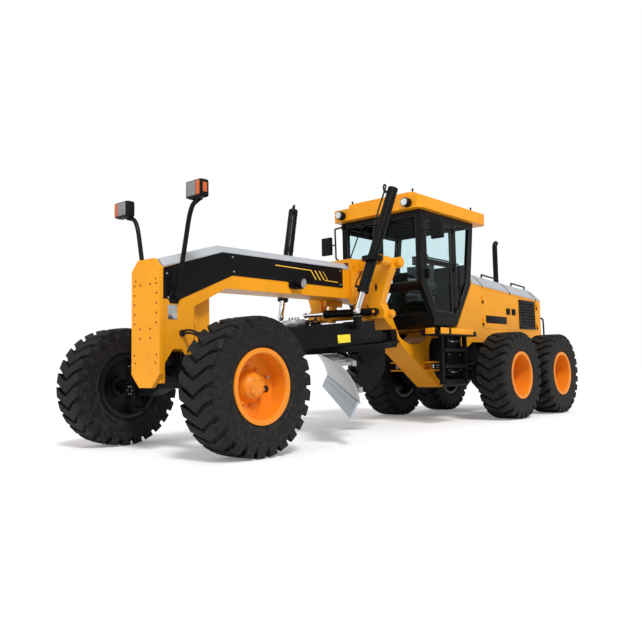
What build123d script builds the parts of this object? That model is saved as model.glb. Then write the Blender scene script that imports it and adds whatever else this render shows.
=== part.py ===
"""Motor grader: an articulated road grader with a blade between its axles.

Lengths are millimetres. X points forward, Y to the machine's left, Z up, and the ground is Z = 0. Everything is laid out from
the front axle, whose middle stands over X = 0, and each piece is moved by FRONT_X as it is written, so that
the model's origin lies on the ground under the middle of the whole machine.
"""

from build123d import *
from math import cos, radians, sin
import os

os.makedirs("parts", exist_ok=True)

# ---------------------------------------------------------------- driving sizes
WHEELBASE = 6220  # front axle to the middle of the tandems
TANDEM_PITCH = 1540  # between the two rear axles of one side
TREAD = 2155  # between the middles of a left and a right tyre
TYRE_R = 660
TYRE_W = 445
RIM_R = 320  # bead seat
REAR_END = 7960  # front axle to the rear bumper
FRONT_X = (REAR_END - TYRE_R) / 2  # front axle to the middle of the machine
FIT = 0.3  # running clearance of a pin in its bore
PLATE_FACE_X = 393  # front face of the push plate

BALL_AT = (-300, 0, 1070)  # drawbar ball
BALL_R = 70
STUD_R = 38
STUD_TOP = 240  # above the ball
BEAM_HALF = 200  # half width of the front frame's box beam
HITCH_X = -5050  # upright articulation pin
HITCH_PIN_R = 45
HITCH_EYE_R = 115

SIDES = (("left", 1), ("right", -1))


def save(solid, name):
    """Labels a finished piece and writes it in the machine's own frame."""
    solid.label = name
    export_step(solid.moved(Location((FRONT_X, 0, 0))), "parts/" + name + ".step")


def block(x, y, z, mode=Mode.ADD):
    """A box between two planes on each axis, each pair given in either order."""
    with Locations(((x[0] + x[1]) / 2, (y[0] + y[1]) / 2, (z[0] + z[1]) / 2)):
        Box(abs(x[1] - x[0]), abs(y[1] - y[0]), abs(z[1] - z[0]), mode=mode)


def bar(start, end, radius, mode=Mode.ADD):
    """A round bar from one point to another."""
    along = Vector(*end) - Vector(*start)
    with Locations(Plane(origin=start, z_dir=along)):
        Cylinder(radius, along.length, align=(Align.CENTER, Align.CENTER, Align.MIN), mode=mode)


def plate(points, plane, half, mode=Mode.ADD):
    """A flat plate with a straight-sided outline, as thick on one side of the plane as on the other."""
    with BuildSketch(plane) as outline:
        with BuildLine():
            Polyline(*points, close=True)
        make_face()
    extrude(outline.sketch, amount=half, both=True, mode=mode)


def side_plane(y=0):
    """An upright plane along the machine: local x is X and local y is Z."""
    return Plane(origin=(0, y, 0), x_dir=(1, 0, 0), z_dir=(0, -1, 0))


def cross_plane(x=0):
    """An upright plane across the machine: local x is Y and local y is Z."""
    return Plane(origin=(x, 0, 0), x_dir=(0, 1, 0), z_dir=(1, 0, 0))


def level_plane(z=0):
    return Plane.XY.offset(z)


# ---------------------------------------------------------------- tyres and rims
# Each wheel turns about a level axis; profiles give (outboard, radius) from the middle of the wheel.
REAR_AXLE_XS = (-(WHEELBASE - TANDEM_PITCH / 2), -(WHEELBASE + TANDEM_PITCH / 2))
WHEELS = [("front", side, sign, 0) for side, sign in SIDES]
WHEELS += [("middle", side, sign, REAR_AXLE_XS[0]) for side, sign in SIDES]
WHEELS += [("rear", side, sign, REAR_AXLE_XS[1]) for side, sign in SIDES]
FLANGE_R = 357
FLANGE_AT = 209
BEAD_AT = 188  # outer side of each bead, from the middle of the tyre
RIM_WALL = 14
DISC_T = 24
HUB_R = 150
SPINDLE_R = 55


def wheel_plane(x, sign):
    """Local x points outboard along the axle and local y points up."""
    return Plane(origin=(x, sign * TREAD / 2, TYRE_R), x_dir=(0, sign, 0), z_dir=(sign, 0, 0))


def wheel_axis(x, sign):
    return Axis((x, sign * TREAD / 2, TYRE_R), (0, 1, 0))


LUGS = 17  # chevron lugs round each tyre, whose facets keep the same count
LUG_ROOT = 545  # the lugs rise from this radius
SIDEWALL = ((-222, 480), (-205, 626), (205, 626), (222, 480))  # (across, radius) of the casing
# (round the tyre, across), tip leading
LUG = [(-104, 0), (-8, 217), (96, 217), (22, 0), (96, -217), (-8, -217)]
FLAT = cos(radians(180 / LUGS))  # how far in a ring's flats lie, by its corners
BEAD_R = (RIM_R + FIT) / FLAT


def ring_corner(row, k):
    """One corner of the casing's many-sided ring at one (across, radius)."""
    turn = radians(-90 + (k + 0.5) * 360 / LUGS)
    return (row[1] * cos(turn), row[0], row[1] * sin(turn))


OPENING_R = (FLANGE_R + 3) / FLAT
CASING = (
    (-BEAD_AT, BEAD_R), (-BEAD_AT, OPENING_R), *SIDEWALL, (BEAD_AT, OPENING_R), (BEAD_AT, BEAD_R),
)
with BuildPart() as tyre:
    # flat facets from each ring to the next, closed into one body
    facets = [
        Face(Wire.make_polygon(
            [ring_corner(row, k), ring_corner(row, k + 1), ring_corner(after, k + 1), ring_corner(after, k)],
        ))
        for row, after in zip(CASING, CASING[1:] + CASING[:1])
        for k in range(LUGS)
    ]
    add(Solid(Shell(facets)))
    for k in range(LUGS):
        turn = radians(-90 + k * 360 / LUGS)
        outward = Vector(cos(turn), 0, sin(turn))
        with BuildSketch(
            Plane(origin=outward * LUG_ROOT, x_dir=(-sin(turn), 0, cos(turn)), z_dir=outward),
        ) as lug:
            with BuildLine():
                Polyline(*LUG, close=True)
            make_face()
        extrude(lug.sketch, amount=TYRE_R - LUG_ROOT)


# The front rims' discs sit near the middle, the drive rims' discs far inboard, which leaves a deep dish.
DISC_AT = {"front": 10, "middle": -75, "rear": -75}  # outer side of the disc, from the middle of the tyre
HUB_IN = 70  # the hub's ring reaches this far inboard of the disc
SPINDLE_IN = 10  # and the spindle this far outboard of it


def make_rim(place, side, sign, x):
    disc_at = DISC_AT[place]
    hub_in = disc_at - HUB_IN
    hub_out = disc_at + (105 if place == "front" else 60)
    with BuildPart() as rim:
        with BuildSketch(wheel_plane(x, sign)):
            with Locations((0, RIM_R - RIM_WALL / 2)):
                Rectangle(2 * FLANGE_AT - 30, RIM_WALL)
            for end in (-1, 1):
                with BuildLine():
                    Polyline(
                        (end * (FLANGE_AT - 20), RIM_R),
                        (end * (FLANGE_AT - 20), FLANGE_R),
                        (end * FLANGE_AT, FLANGE_R),
                        (end * FLANGE_AT, RIM_R - 6),
                        (end * (FLANGE_AT - 26), RIM_R - RIM_WALL),
                        (end * (FLANGE_AT - 26), RIM_R),
                        close=True,
                    )
                make_face()
            with BuildLine():
                Polyline(
                    (disc_at - DISC_T, SPINDLE_R + FIT),
                    (disc_at - DISC_T, RIM_R - RIM_WALL),
                    (disc_at, RIM_R - RIM_WALL),
                    (disc_at, HUB_R + 20),
                    (disc_at + 12, HUB_R + 8),
                    (hub_out - 25, HUB_R - 30),
                    (hub_out, HUB_R - 62),
                    (hub_out, 0),
                    (disc_at + SPINDLE_IN, 0),
                    (disc_at + SPINDLE_IN, SPINDLE_R + FIT),
                    close=True,
                )
            make_face()
            with Locations(((hub_in + disc_at) / 2, 100)):
                Rectangle(disc_at - hub_in, 40)
        revolve(axis=wheel_axis(x, sign))
    save(rim.part, "rim_" + place + "_" + side)


for place, side, sign, x in WHEELS:
    save(tyre.part.moved(Location((x, sign * TREAD / 2, TYRE_R))), "tyre_" + place + "_" + side)
    make_rim(place, side, sign, x)

# ---------------------------------------------------------------- front frame
# One box-section weldment: bolster over the front axle, long beam, and a neck that drops behind the
# saddle to the two hitch arms. Points are (X, Z).
BEAM_TOP_FRONT = (348, 1866)
BEAM_KNEE = (-454, 2105)
BEAM_TOP_REAR = (-2570, 2127)
BEAM_UNDER_KNEE = (-507, 1705)
BEAM_UNDER_REAR = (-2620, 1729)
COVER_RISE = 75  # the grey top rises this far above the beam's side
COVER_INSET = 75
COVER_SUNK = 40
HITCH_ARMS = ((495, 585), (1262, 1345))  # low and high arm, bottom and top
PLATE_T = 45
PLATE_BOLTS = (170, 420)  # half spacing across and up
PLATE_BOLT_R = 14
PLATE_BOLT_DEPTH = 50  # into the frame behind the plate
PLATE_MID_Z = 1320



def cover_section(x, z):
    """The grey cover's section where it crosses one X, sunk a little into the beam."""
    with BuildSketch(cross_plane(x)) as section:
        with BuildLine():
            Polyline(
                (-BEAM_HALF, z - COVER_SUNK), (-BEAM_HALF, z), (COVER_INSET - BEAM_HALF, z + COVER_RISE),
                (BEAM_HALF - COVER_INSET, z + COVER_RISE), (BEAM_HALF, z), (BEAM_HALF, z - COVER_SUNK),
                close=True,
            )
        make_face()
    return section.sketch


with BuildPart() as front_frame:
    with BuildSketch(side_plane()):
        with BuildLine():
            Polyline(
                (-3330, 2000),
                (-3180, 2118),
                BEAM_TOP_REAR,
                BEAM_KNEE,
                BEAM_TOP_FRONT,
                (PLATE_FACE_X - PLATE_T, 1850),
                (PLATE_FACE_X - PLATE_T, 700),
                (300, 700),
                (300, 900),
                (200, 1040),
                (90, 1040),
                (50, 979),
                (-20, 979),
                (-65, 1166),
                (-73, 1484),
                BEAM_UNDER_KNEE,
                BEAM_UNDER_REAR,
                (-3230, 1700),
                (-3457, 1482),
                (-3698, 1316),
                (-3842, 1128),
                (-4836, HITCH_ARMS[0][0]),
                (-4900, HITCH_ARMS[0][0]),
                (-4900, HITCH_ARMS[0][1]),
                (-4780, 640),
                (-4640, 800),
            )
            ThreePointArc((-4640, 800), (-4560, 1020), (-4680, HITCH_ARMS[1][0]))
            Polyline(
                (-4680, HITCH_ARMS[1][0]),
                (-4900, HITCH_ARMS[1][0]),
                (-4900, HITCH_ARMS[1][1]),
                (-4620, HITCH_ARMS[1][1]),
            )
            ThreePointArc((-4620, HITCH_ARMS[1][1]), (-4230, 1150), (-3800, 1250))
            Line((-3800, 1250), (-3330, 2000))
        make_face()
    extrude(amount=BEAM_HALF, both=True)
    # raised cover with sloping shoulders, through three sections: (X, height of the beam's side)
    loft([cover_section(x, z) for x, z in ((-2700, 2127), BEAM_KNEE)], ruled=True)
    loft([cover_section(x, z) for x, z in (BEAM_KNEE, (BEAM_TOP_FRONT[0] - 30, 1875))], ruled=True)
    # lower and upper hitch eyes round the articulation pin, and the pin that they hold
    for low, high in HITCH_ARMS:
        with BuildSketch(level_plane(low)):
            with Locations((HITCH_X, 0)):
                Circle(HITCH_EYE_R)
            with BuildLine():
                Polyline(
                    (-4860, BEAM_HALF), (HITCH_X, HITCH_EYE_R), (HITCH_X, -HITCH_EYE_R),
                    (-4860, -BEAM_HALF), close=True
                )
            make_face()
        extrude(amount=high - low)
    with Locations((HITCH_X, 0, (HITCH_ARMS[0][0] + HITCH_ARMS[1][1]) / 2)):
        Cylinder(HITCH_PIN_R, HITCH_ARMS[1][1] - HITCH_ARMS[0][0])
    # lugs for the rod ends of the articulation cylinders
    for sign in (1, -1):
        for z in (760, 880):
            block((-4560, -4400), (sign * (BEAM_HALF - 10), sign * 400), (z - 12, z + 12))
    # rear hanger of the front axle's trunnion
    block((-190, -150), (-110, 110), (720, 1500))
    block((-190, 0), (-110, 110), (1300, 1500))
    # socket over the drawbar's ball
    block((BALL_AT[0] - 75, -150), (-75, 75), (BALL_AT[2] + 160, 1600))
    bar(BALL_AT, (BALL_AT[0], 0, BALL_AT[2] + STUD_TOP + 1), STUD_R + FIT, mode=Mode.SUBTRACT)
    with BuildSketch(cross_plane(PLATE_FACE_X - PLATE_T)) as bolt_holes:
        with Locations((0, PLATE_MID_Z)):
            with GridLocations(2 * PLATE_BOLTS[0], 2 * PLATE_BOLTS[1], 2, 2):
                Circle(PLATE_BOLT_R)
    extrude(bolt_holes.sketch, amount=-PLATE_BOLT_DEPTH, mode=Mode.SUBTRACT)
save(front_frame.part, "front_frame")

PLATE_HALF = 238
with BuildPart() as push_plate:
    with BuildSketch(cross_plane(PLATE_FACE_X)):
        with BuildLine():
            Polyline(
                (-104, 655), (-PLATE_HALF, 790), (-PLATE_HALF, 1848), (-130, 1952),
                (130, 1952), (PLATE_HALF, 1848), (PLATE_HALF, 790), (104, 655), close=True,
            )
        make_face()
        with Locations((0, PLATE_MID_Z)):
            with GridLocations(2 * PLATE_BOLTS[0], 2 * PLATE_BOLTS[1], 2, 2):
                Circle(PLATE_BOLT_R, mode=Mode.SUBTRACT)
    extrude(amount=-PLATE_T)
save(push_plate.part, "push_plate")

# ---------------------------------------------------------------- front axle, lean yokes and knuckles
LEAN_Y = 640  # lean pivot, off the middle
LEAN_Z = 620
LEAN_PIN_R = 26
KING_Y = 800
KING_PIN_R = 28
AXLE_HALF = 90  # half thickness of the axle beam along the machine

with BuildPart() as front_axle:
    with BuildSketch(cross_plane()):
        with BuildLine():
            Polyline(
                (-LEAN_Y, 690), (-420, 760), (-220, 960), (220, 960), (420, 760), (LEAN_Y, 690),
                (LEAN_Y, 550), (380, 560), (160, 640), (-160, 640), (-380, 560), (-LEAN_Y, 550), close=True,
            )
        make_face()
    extrude(amount=AXLE_HALF, both=True)
    for side, sign in SIDES:
        bar((-AXLE_HALF, sign * LEAN_Y, LEAN_Z), (AXLE_HALF, sign * LEAN_Y, LEAN_Z), 58)
        bar((-150, sign * LEAN_Y, LEAN_Z), (150, sign * LEAN_Y, LEAN_Z), LEAN_PIN_R)
    bar((-150, 0, 820), (300, 0, 820), 60)
save(front_axle.part, "front_axle")

for side, sign in SIDES:
    with BuildPart() as yoke:
        for x in (-112, 112):
            plate(
                [
                    (sign * y, z) for y,
                    z in ((570, 560), (570, 690), (695, 880), (745, 880), (745, 440), (695, 440))
                ],
                cross_plane(x), 16,
            )
        block((-128, 128), (sign * 708, sign * 745), (440, 880))
        for low, high in ((440, 480), (840, 880)):
            block((-60, 60), (sign * 720, sign * 850), (low, high))
        bar((-140, sign * LEAN_Y, LEAN_Z), (140, sign * LEAN_Y, LEAN_Z), LEAN_PIN_R + FIT, mode=Mode.SUBTRACT)
        bar((0, sign * KING_Y, 430), (0, sign * KING_Y, 890), KING_PIN_R + FIT, mode=Mode.SUBTRACT)
    save(yoke.part, "lean_yoke_" + side)

    with BuildPart() as knuckle:
        bar((0, sign * KING_Y, 486), (0, sign * KING_Y, 834), 48)
        bar((0, sign * KING_Y, 382), (0, sign * KING_Y, 884), KING_PIN_R)
        bar(
            (0, sign * KING_Y, TYRE_R),
            (0, sign * (TREAD / 2 + DISC_AT["front"] + SPINDLE_IN - FIT), TYRE_R), SPINDLE_R,
        )
        # steering arm behind the kingpin
        plate(
            [(30, sign * 775), (-250, sign * 745), (-290, sign * 775), (-250, sign * 805), (30, sign * 835)],
            level_plane(400), 18,
        )
    save(knuckle.part, "knuckle_" + side)

# ---------------------------------------------------------------- saddle
# Cheeks clamp the beam; two bent arms hang outboard and carry the rings of the lift cylinders.
RING_AT = (-2450, 750, 2180)  # middle of the left lift cylinder's ring
RING_R = 135
RING_BORE = 100
RING_HALF = 26
RING_PIN_R = 26
ARM_X = (-2910, -2790)
SHIFT_BASE = (-2732, 560, 1538)  # pivot of the centre-shift cylinder
SHIFT_PIN_R = 20
ARM_OUTLINE = [  # (Y, Z) of the left arm
    (205, 2262), (470, 2262), (640, 2240), (800, 2200), (790, 2090), (690, 1890), (600, 1640), (660, 1560),
    (660, 1450), (450, 1450), (400, 1690), (480, 1900), (440, 2080), (205, 2110),
]

with BuildPart() as saddle:
    for side, sign in SIDES:
        block((-3000, -2650), (sign * BEAM_HALF, sign * 250), (1660, 2262))
        plate([(sign * y, z) for y, z in ARM_OUTLINE], cross_plane((ARM_X[0] + ARM_X[1]) / 2), 60)
        bar((-2930, sign * 420, 2170), (-2930, sign * 850, 2170), 72)
        bar((-2930, sign * 400, 1510), (-2930, sign * 700, 1510), 55)
        bar(
            (ARM_X[1], sign * RING_AT[1], RING_AT[2]),
            (RING_AT[0] - RING_R - 3, sign * RING_AT[1], RING_AT[2]), 62,
        )
        bar(
            (ARM_X[1], sign * RING_AT[1], RING_AT[2]),
            (RING_AT[0] - RING_BORE - 8, sign * RING_AT[1], RING_AT[2]), RING_PIN_R,
        )
    block((-3000, -2650), (-250, 250), (2212, 2262))
    # hangers and link bar below the beam
    for side, sign in SIDES:
        plate(
            [(sign * y, z) for y, z in ((200, 1760), (250, 1760), (330, 1520), (300, 1440), (240, 1440))],
            cross_plane(-2850), 45
        )
    bar((-2850, -470, 1510), (-2850, 470, 1510), 50)
    bar(
        (ARM_X[1], SHIFT_BASE[1], SHIFT_BASE[2]), (SHIFT_BASE[0] + 40, SHIFT_BASE[1], SHIFT_BASE[2]),
        SHIFT_PIN_R,
    )
save(saddle.part, "saddle")

# ---------------------------------------------------------------- lamp posts
POST_BAR = 24
with BuildPart() as lamp_posts:
    for side, sign in SIDES:
        route = [(190, 238, 1590), (190, 300, 1790), (186, 348, 1970), (182, 436, 2353), (200, 600, 2500)]
        for start, end in zip(route, route[1:]):
            bar((start[0], sign * start[1], start[2]), (end[0], sign * end[1], end[2]), POST_BAR)
        for point in route[1:]:
            with Locations((point[0], sign * point[1], point[2])):
                Sphere(POST_BAR)
        block((120, 260), (sign * BEAM_HALF, sign * 240), (1560, 1620))
        block((170, 290), (sign * 505, sign * 745), (2500, 2680))
save(lamp_posts.part, "lamp_posts")

# ---------------------------------------------------------------- drawbar, circle and blade
# The drawbar slopes up from its ball to the circle; its own plane carries everything below it.
SLOPE = 5.0  # degrees, rear end up
CIRCLE_BACK = 2430  # ball to the circle's middle, along the drawbar
CIRCLE_R = 760
CIRCLE_BORE = 620
CIRCLE_TOP = -152  # below the drawbar's own plane
FLANGE_LOW = -180  # underside of the circle's outer flange
CIRCLE_BOTTOM = -228
BLADE_TURN = 45.0  # degrees from square across; left end forward
BAR_HALF_H = 140
PAD_AT = (1960, 655)  # lift ball pads: behind the ball, off the middle
PAD_TOP = 207
SHIFT_AT = (2260, -470)  # centre-shift ball: behind the ball, off the middle
SHIFT_TOP = 216

SLOPE_R = radians(SLOPE)
DRAW = Plane(origin=BALL_AT, x_dir=(cos(SLOPE_R), 0, -sin(SLOPE_R)), z_dir=(sin(SLOPE_R), 0, cos(SLOPE_R)))


def draw_plane(height):
    return DRAW.offset(height)


def on_drawbar(back, left, up):
    """A point given behind, left of and above the drawbar's ball, in machine axes."""
    return tuple(DRAW.from_local_coords(Vector(-back, left, up)))


with BuildPart() as drawbar_ball:
    with Locations(BALL_AT):
        Sphere(BALL_R)
    bar(BALL_AT, (BALL_AT[0], 0, BALL_AT[2] + STUD_TOP), STUD_R)
save(drawbar_ball.part, "drawbar_ball")

NOSE_TOP = 75
MOTOR_BACK = 1930  # behind the ball
MOTOR = ((-10, 60, 90), (60, 150, 74), (150, 172, 50))  # up from, up to, radius
PINION_R = 83
PINION_LOW = -222
SEAT_MOUTH_R = 66
SHOE_GAP = 0.5
SHOE_ANGLES = (30, 150, 210, 330)  # round the circle, from straight ahead

with BuildPart() as drawbar:
    # two legs spread from the nose
    for sign in (1, -1):
        with BuildSketch(draw_plane(-BAR_HALF_H)):
            with BuildLine():
                Polyline(
                    (-170, 0), (-170, sign * 95), (-700, sign * 210), (-PAD_AT[0], sign * 560),
                    (-2440, sign * 560), (-2440, sign * 420), (-1960, sign * 420), (-760, sign * 40),
                    (-760, 0), close=True,
                )
            make_face()
        extrude(amount=2 * BAR_HALF_H)
    # cross members over the circle
    with BuildSketch(draw_plane(-BAR_HALF_H)):
        for back, length, width in (
            (2430, 300, 1120), (PAD_AT[0], 180, 1000), (2790, 460, 240), (3010, 120, 900),
        ):
            with Locations((-back, 0)):
                Rectangle(length, width)
    extrude(amount=BAR_HALF_H)
    # shoes that hold the circle's flange
    for angle in SHOE_ANGLES:
        shoe = Plane(
            origin=on_drawbar(CIRCLE_BACK, 0, 0),
            x_dir=DRAW.x_dir * cos(radians(angle)) + DRAW.y_dir * sin(radians(angle)),
            z_dir=DRAW.z_dir,
        )
        lip = FLANGE_LOW - SHOE_GAP
        side_of_shoe = Plane(
            origin=shoe.from_local_coords((0, 60, 0)), x_dir=shoe.x_dir, z_dir=shoe.y_dir * -1,
        )
        with BuildSketch(side_of_shoe) as clamp:
            with BuildLine():
                Polyline(
                    (560, CIRCLE_TOP + SHOE_GAP), (CIRCLE_R + 3, CIRCLE_TOP + SHOE_GAP), (CIRCLE_R + 3, lip),
                    (CIRCLE_R - 20, lip), (CIRCLE_R - 20, lip - 14), (CIRCLE_R + 28, lip - 14),
                    (CIRCLE_R + 28, -40), (560, -40), close=True,
                )
            make_face()
        extrude(clamp.sketch, amount=120)
    # nose with a spherical seat for the ball
    with Locations(Location(DRAW)):
        with Locations((-65, 0, NOSE_TOP - 95)):
            Box(250, 210, 190)
    bar((BALL_AT[0], -125, BALL_AT[2]), (BALL_AT[0], 125, BALL_AT[2]), 60)
    with Locations(BALL_AT):
        Sphere(BALL_R + FIT, mode=Mode.SUBTRACT)
    bar(BALL_AT, (BALL_AT[0], 0, BALL_AT[2] + 200), SEAT_MOUTH_R, mode=Mode.SUBTRACT)
    # gear motor with the pinion that turns the circle
    for up, reach, radius in MOTOR:
        bar(on_drawbar(MOTOR_BACK, 0, up), on_drawbar(MOTOR_BACK, 0, reach), radius)
    with BuildSketch(draw_plane(PINION_LOW)) as pinion:
        with Locations((-MOTOR_BACK, 0)):
            Circle(PINION_R - 18)
            with PolarLocations(0, 10):
                Polygon((PINION_R - 24, -16), (PINION_R - 24, 16), (PINION_R, 8), (PINION_R, -8), align=None)
    extrude(pinion.sketch, amount=-BAR_HALF_H - PINION_LOW)
    # posts under the lift balls and under the centre-shift ball
    for sign in (1, -1):
        bar(on_drawbar(PAD_AT[0], sign * PAD_AT[1], 60), on_drawbar(PAD_AT[0], sign * PAD_AT[1], PAD_TOP), 55)
        bar(on_drawbar(PAD_AT[0], sign * 440, 100), on_drawbar(PAD_AT[0], sign * (PAD_AT[1] + 40), 100), 50)
    bar(on_drawbar(*SHIFT_AT, 100), on_drawbar(*SHIFT_AT, SHIFT_TOP), 42)
save(drawbar.part, "drawbar")

TURN_R = radians(BLADE_TURN)
CIRC = Plane(
    origin=on_drawbar(CIRCLE_BACK, 0, 0),
    x_dir=DRAW.x_dir * cos(TURN_R) - DRAW.y_dir * sin(TURN_R),
    z_dir=DRAW.z_dir,
)


def on_circle(ahead, left, up):
    """A point given ahead of the circle's middle as the blade faces, along the blade, and up."""
    return tuple(CIRC.from_local_coords(Vector(ahead, left, up)))


def blade_plane(left=0):
    """A plane square to the blade: local x points ahead of it and local y up."""
    return Plane(origin=on_circle(0, left, 0), x_dir=CIRC.x_dir, z_dir=CIRC.y_dir * -1)


ARM_AT = 500  # blade arms, off the middle
ARM_T = 40
ARM_GAP = 6
CHEEK_T = 40
CHEEK_AT = ARM_AT + ARM_T / 2 + ARM_GAP + CHEEK_T / 2
TIP_PIN = (-215, -700)  # ahead, up
TIP_PIN_R = 30
TIE_AT = (-450, -345)
TIP_BASE = (-470, -235)  # pivots of the tip cylinder: ahead, up
TIP_END = (-100, -300)
TIP_R = 34
LUG_AT = 46
BLADE_L = 3960
BLADE_OFF = 155  # middle of the blade, to the left of the circle's middle
BLADE_T = 22
BLADE_FOOT = (195, -848)  # lowest point of the cutting edge: ahead, up
BLADE_CURVE = ((95, -705), (157, -453), (317, -248))  # foot, belly and head of the moldboard's front face
EDGE_T = 20
EDGE_H = 190
EDGE_LEAN = radians(28.4)  # the edge leans back from upright
RAIL_L = 2500
TEETH = 64
TOOTH_TIP = 592
RAILS = ((20, -330, 225), (-30, -640, 93))  # slide rails: middle ahead, middle up, and where their webs reach
RAIL = (46, 60)
WEB_AT = (-1200, -600, 0, 600, 1200)
SLIDE_GAP = 1

with BuildPart() as circle:
    with BuildSketch(CIRC.offset(CIRCLE_TOP)):
        Circle(CIRCLE_R)
        Circle(CIRCLE_BORE, mode=Mode.SUBTRACT)
    extrude(amount=FLANGE_LOW - CIRCLE_TOP)
    with BuildSketch(CIRC.offset(CIRCLE_TOP)):
        Circle(CIRCLE_R - 30)
        Circle(CIRCLE_BORE, mode=Mode.SUBTRACT)
    extrude(amount=CIRCLE_BOTTOM - CIRCLE_TOP)
    # internal teeth
    with BuildSketch(CIRC.offset(CIRCLE_BOTTOM)) as teeth:
        with PolarLocations(0, TEETH):
            Polygon(
                (CIRCLE_BORE + 2, -18), (CIRCLE_BORE + 2, 18), (TOOTH_TIP, 9), (TOOTH_TIP, -9), align=None,
            )
    extrude(teeth.sketch, amount=50)
    # arms down to the blade's tip pivots, with a tie between them
    for sign in (1, -1):
        plate(
            [
                (-490, CIRCLE_BOTTOM), (-130, CIRCLE_BOTTOM), (-190, -340), (-190, -620), (-165, -660),
                (-165, -755), (-275, -755), (-470, -500),
            ],
            blade_plane(sign * ARM_AT), ARM_T / 2,
        )
        bar(
            on_circle(TIP_PIN[0], sign * (ARM_AT - 20), TIP_PIN[1]),
            on_circle(TIP_PIN[0], sign * (CHEEK_AT + 30), TIP_PIN[1]), TIP_PIN_R,
        )
    bar(on_circle(TIE_AT[0], -ARM_AT, TIE_AT[1]), on_circle(TIE_AT[0], ARM_AT, TIE_AT[1]), 34)
    # lugs and pin for the tip cylinder
    for left in (-LUG_AT, LUG_AT):
        plate([(-505, -205), (-435, -205), (-425, -345), (-475, -345)], blade_plane(left), 8)
    bar(on_circle(TIP_BASE[0], -LUG_AT, TIP_BASE[1]), on_circle(TIP_BASE[0], LUG_AT, TIP_BASE[1]), 14)
save(circle.part, "circle")


def edge_outline():
    """The cutting edge's section in a blade plane."""
    foot_x, foot_y = BLADE_FOOT
    rise, back = EDGE_H * cos(EDGE_LEAN), EDGE_H * sin(EDGE_LEAN)
    return [
        BLADE_FOOT, (foot_x - back, foot_y + rise),
        (foot_x - back - EDGE_T * cos(EDGE_LEAN), foot_y + rise - EDGE_T * sin(EDGE_LEAN)),
        (foot_x - EDGE_T / cos(EDGE_LEAN), foot_y),
    ]


with BuildPart() as moldboard:
    foot, belly, head = BLADE_CURVE
    with BuildSketch(blade_plane(BLADE_OFF)) as section:
        with BuildLine():
            face = ThreePointArc(foot, belly, head)
            Line(head, (head[0] - BLADE_T, head[1]))
            ThreePointArc(
                (head[0] - BLADE_T, head[1]), (belly[0] - BLADE_T, belly[1]), (foot[0] - BLADE_T, foot[1]),
            )
            Line((foot[0] - BLADE_T, foot[1]), foot)
        make_face()
    extrude(section.sketch, amount=BLADE_L / 2, both=True)
    for ahead, up, reach in RAILS:
        half_w, half_h = RAIL[0] / 2, RAIL[1] / 2
        plate(
            [
                (ahead - half_w, up - half_h), (ahead + half_w, up - half_h), (ahead + half_w, up + half_h),
                (ahead - half_w, up + half_h),
            ],
            blade_plane(BLADE_OFF), RAIL_L / 2,
        )
        for left in WEB_AT:
            plate(
                [(ahead, up - 20), (ahead, up + 20), (reach, up + 20), (reach, up - 20)],
                blade_plane(BLADE_OFF + left), 12,
            )
    plate(edge_outline(), blade_plane(BLADE_OFF), BLADE_L / 2 + 1, mode=Mode.SUBTRACT)
save(moldboard.part, "moldboard")

with BuildPart() as cutting_edge:
    plate(edge_outline(), blade_plane(BLADE_OFF), BLADE_L / 2)
save(cutting_edge.part, "cutting_edge")

with BuildPart() as blade_carrier:
    for sign in (1, -1):
        # cheek with a shoe round each slide rail
        cheek = blade_plane(sign * CHEEK_AT)
        plate(
            [
                (-255, -735), (-180, -755), (-65, -700), (-65, -590), (-150, -500), (-25, -390),
                (-25, -275), (-90, -265), (-240, -500), (-265, -680),
            ],
            cheek, CHEEK_T / 2,
        )
        for ahead, up, reach in RAILS:
            half_w, half_h = RAIL[0] / 2 + SLIDE_GAP, RAIL[1] / 2 + SLIDE_GAP
            plate(
                [
                    (
                        ahead - half_w - 25, up - half_h - 20,
                    ), (ahead + 14, up - half_h - 20), (ahead + 14, up - half_h),
                    (ahead - half_w, up - half_h), (ahead - half_w, up + half_h), (ahead + 14, up + half_h),
                    (ahead + 14, up + half_h + 20), (ahead - half_w - 25, up + half_h + 20),
                ],
                cheek, CHEEK_T / 2,
            )
        bar(
            on_circle(TIP_PIN[0], sign * (ARM_AT - 30), TIP_PIN[1]),
            on_circle(TIP_PIN[0], sign * (CHEEK_AT + 60), TIP_PIN[1]), TIP_PIN_R + FIT, mode=Mode.SUBTRACT,
        )
        # fork that takes the tip cylinder's rod end
        plate([(-130, -270), (-72, -270), (-105, -400), (-150, -400)], blade_plane(sign * 40), 8)
    for ahead, up, radius in ((-105, -555, 30), (-130, -400, 26)):
        bar(on_circle(ahead, -CHEEK_AT, up), on_circle(ahead, CHEEK_AT, up), radius)
save(blade_carrier.part, "blade_carrier")

# ---------------------------------------------------------------- hydraulic cylinders
# Each is a barrel turning at its base and a rod sliding in it. Bases and rod ends are given in machine axes.
ROD_SHARE = 0.55  # rod radius over barrel radius


def along(start, end, distance):
    """The point on a line at a distance from its start."""
    line = Vector(*end) - Vector(*start)
    return tuple(Vector(*start) + line.normalized() * distance)


def span(start, end):
    return (Vector(*end) - Vector(*start)).length


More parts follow.
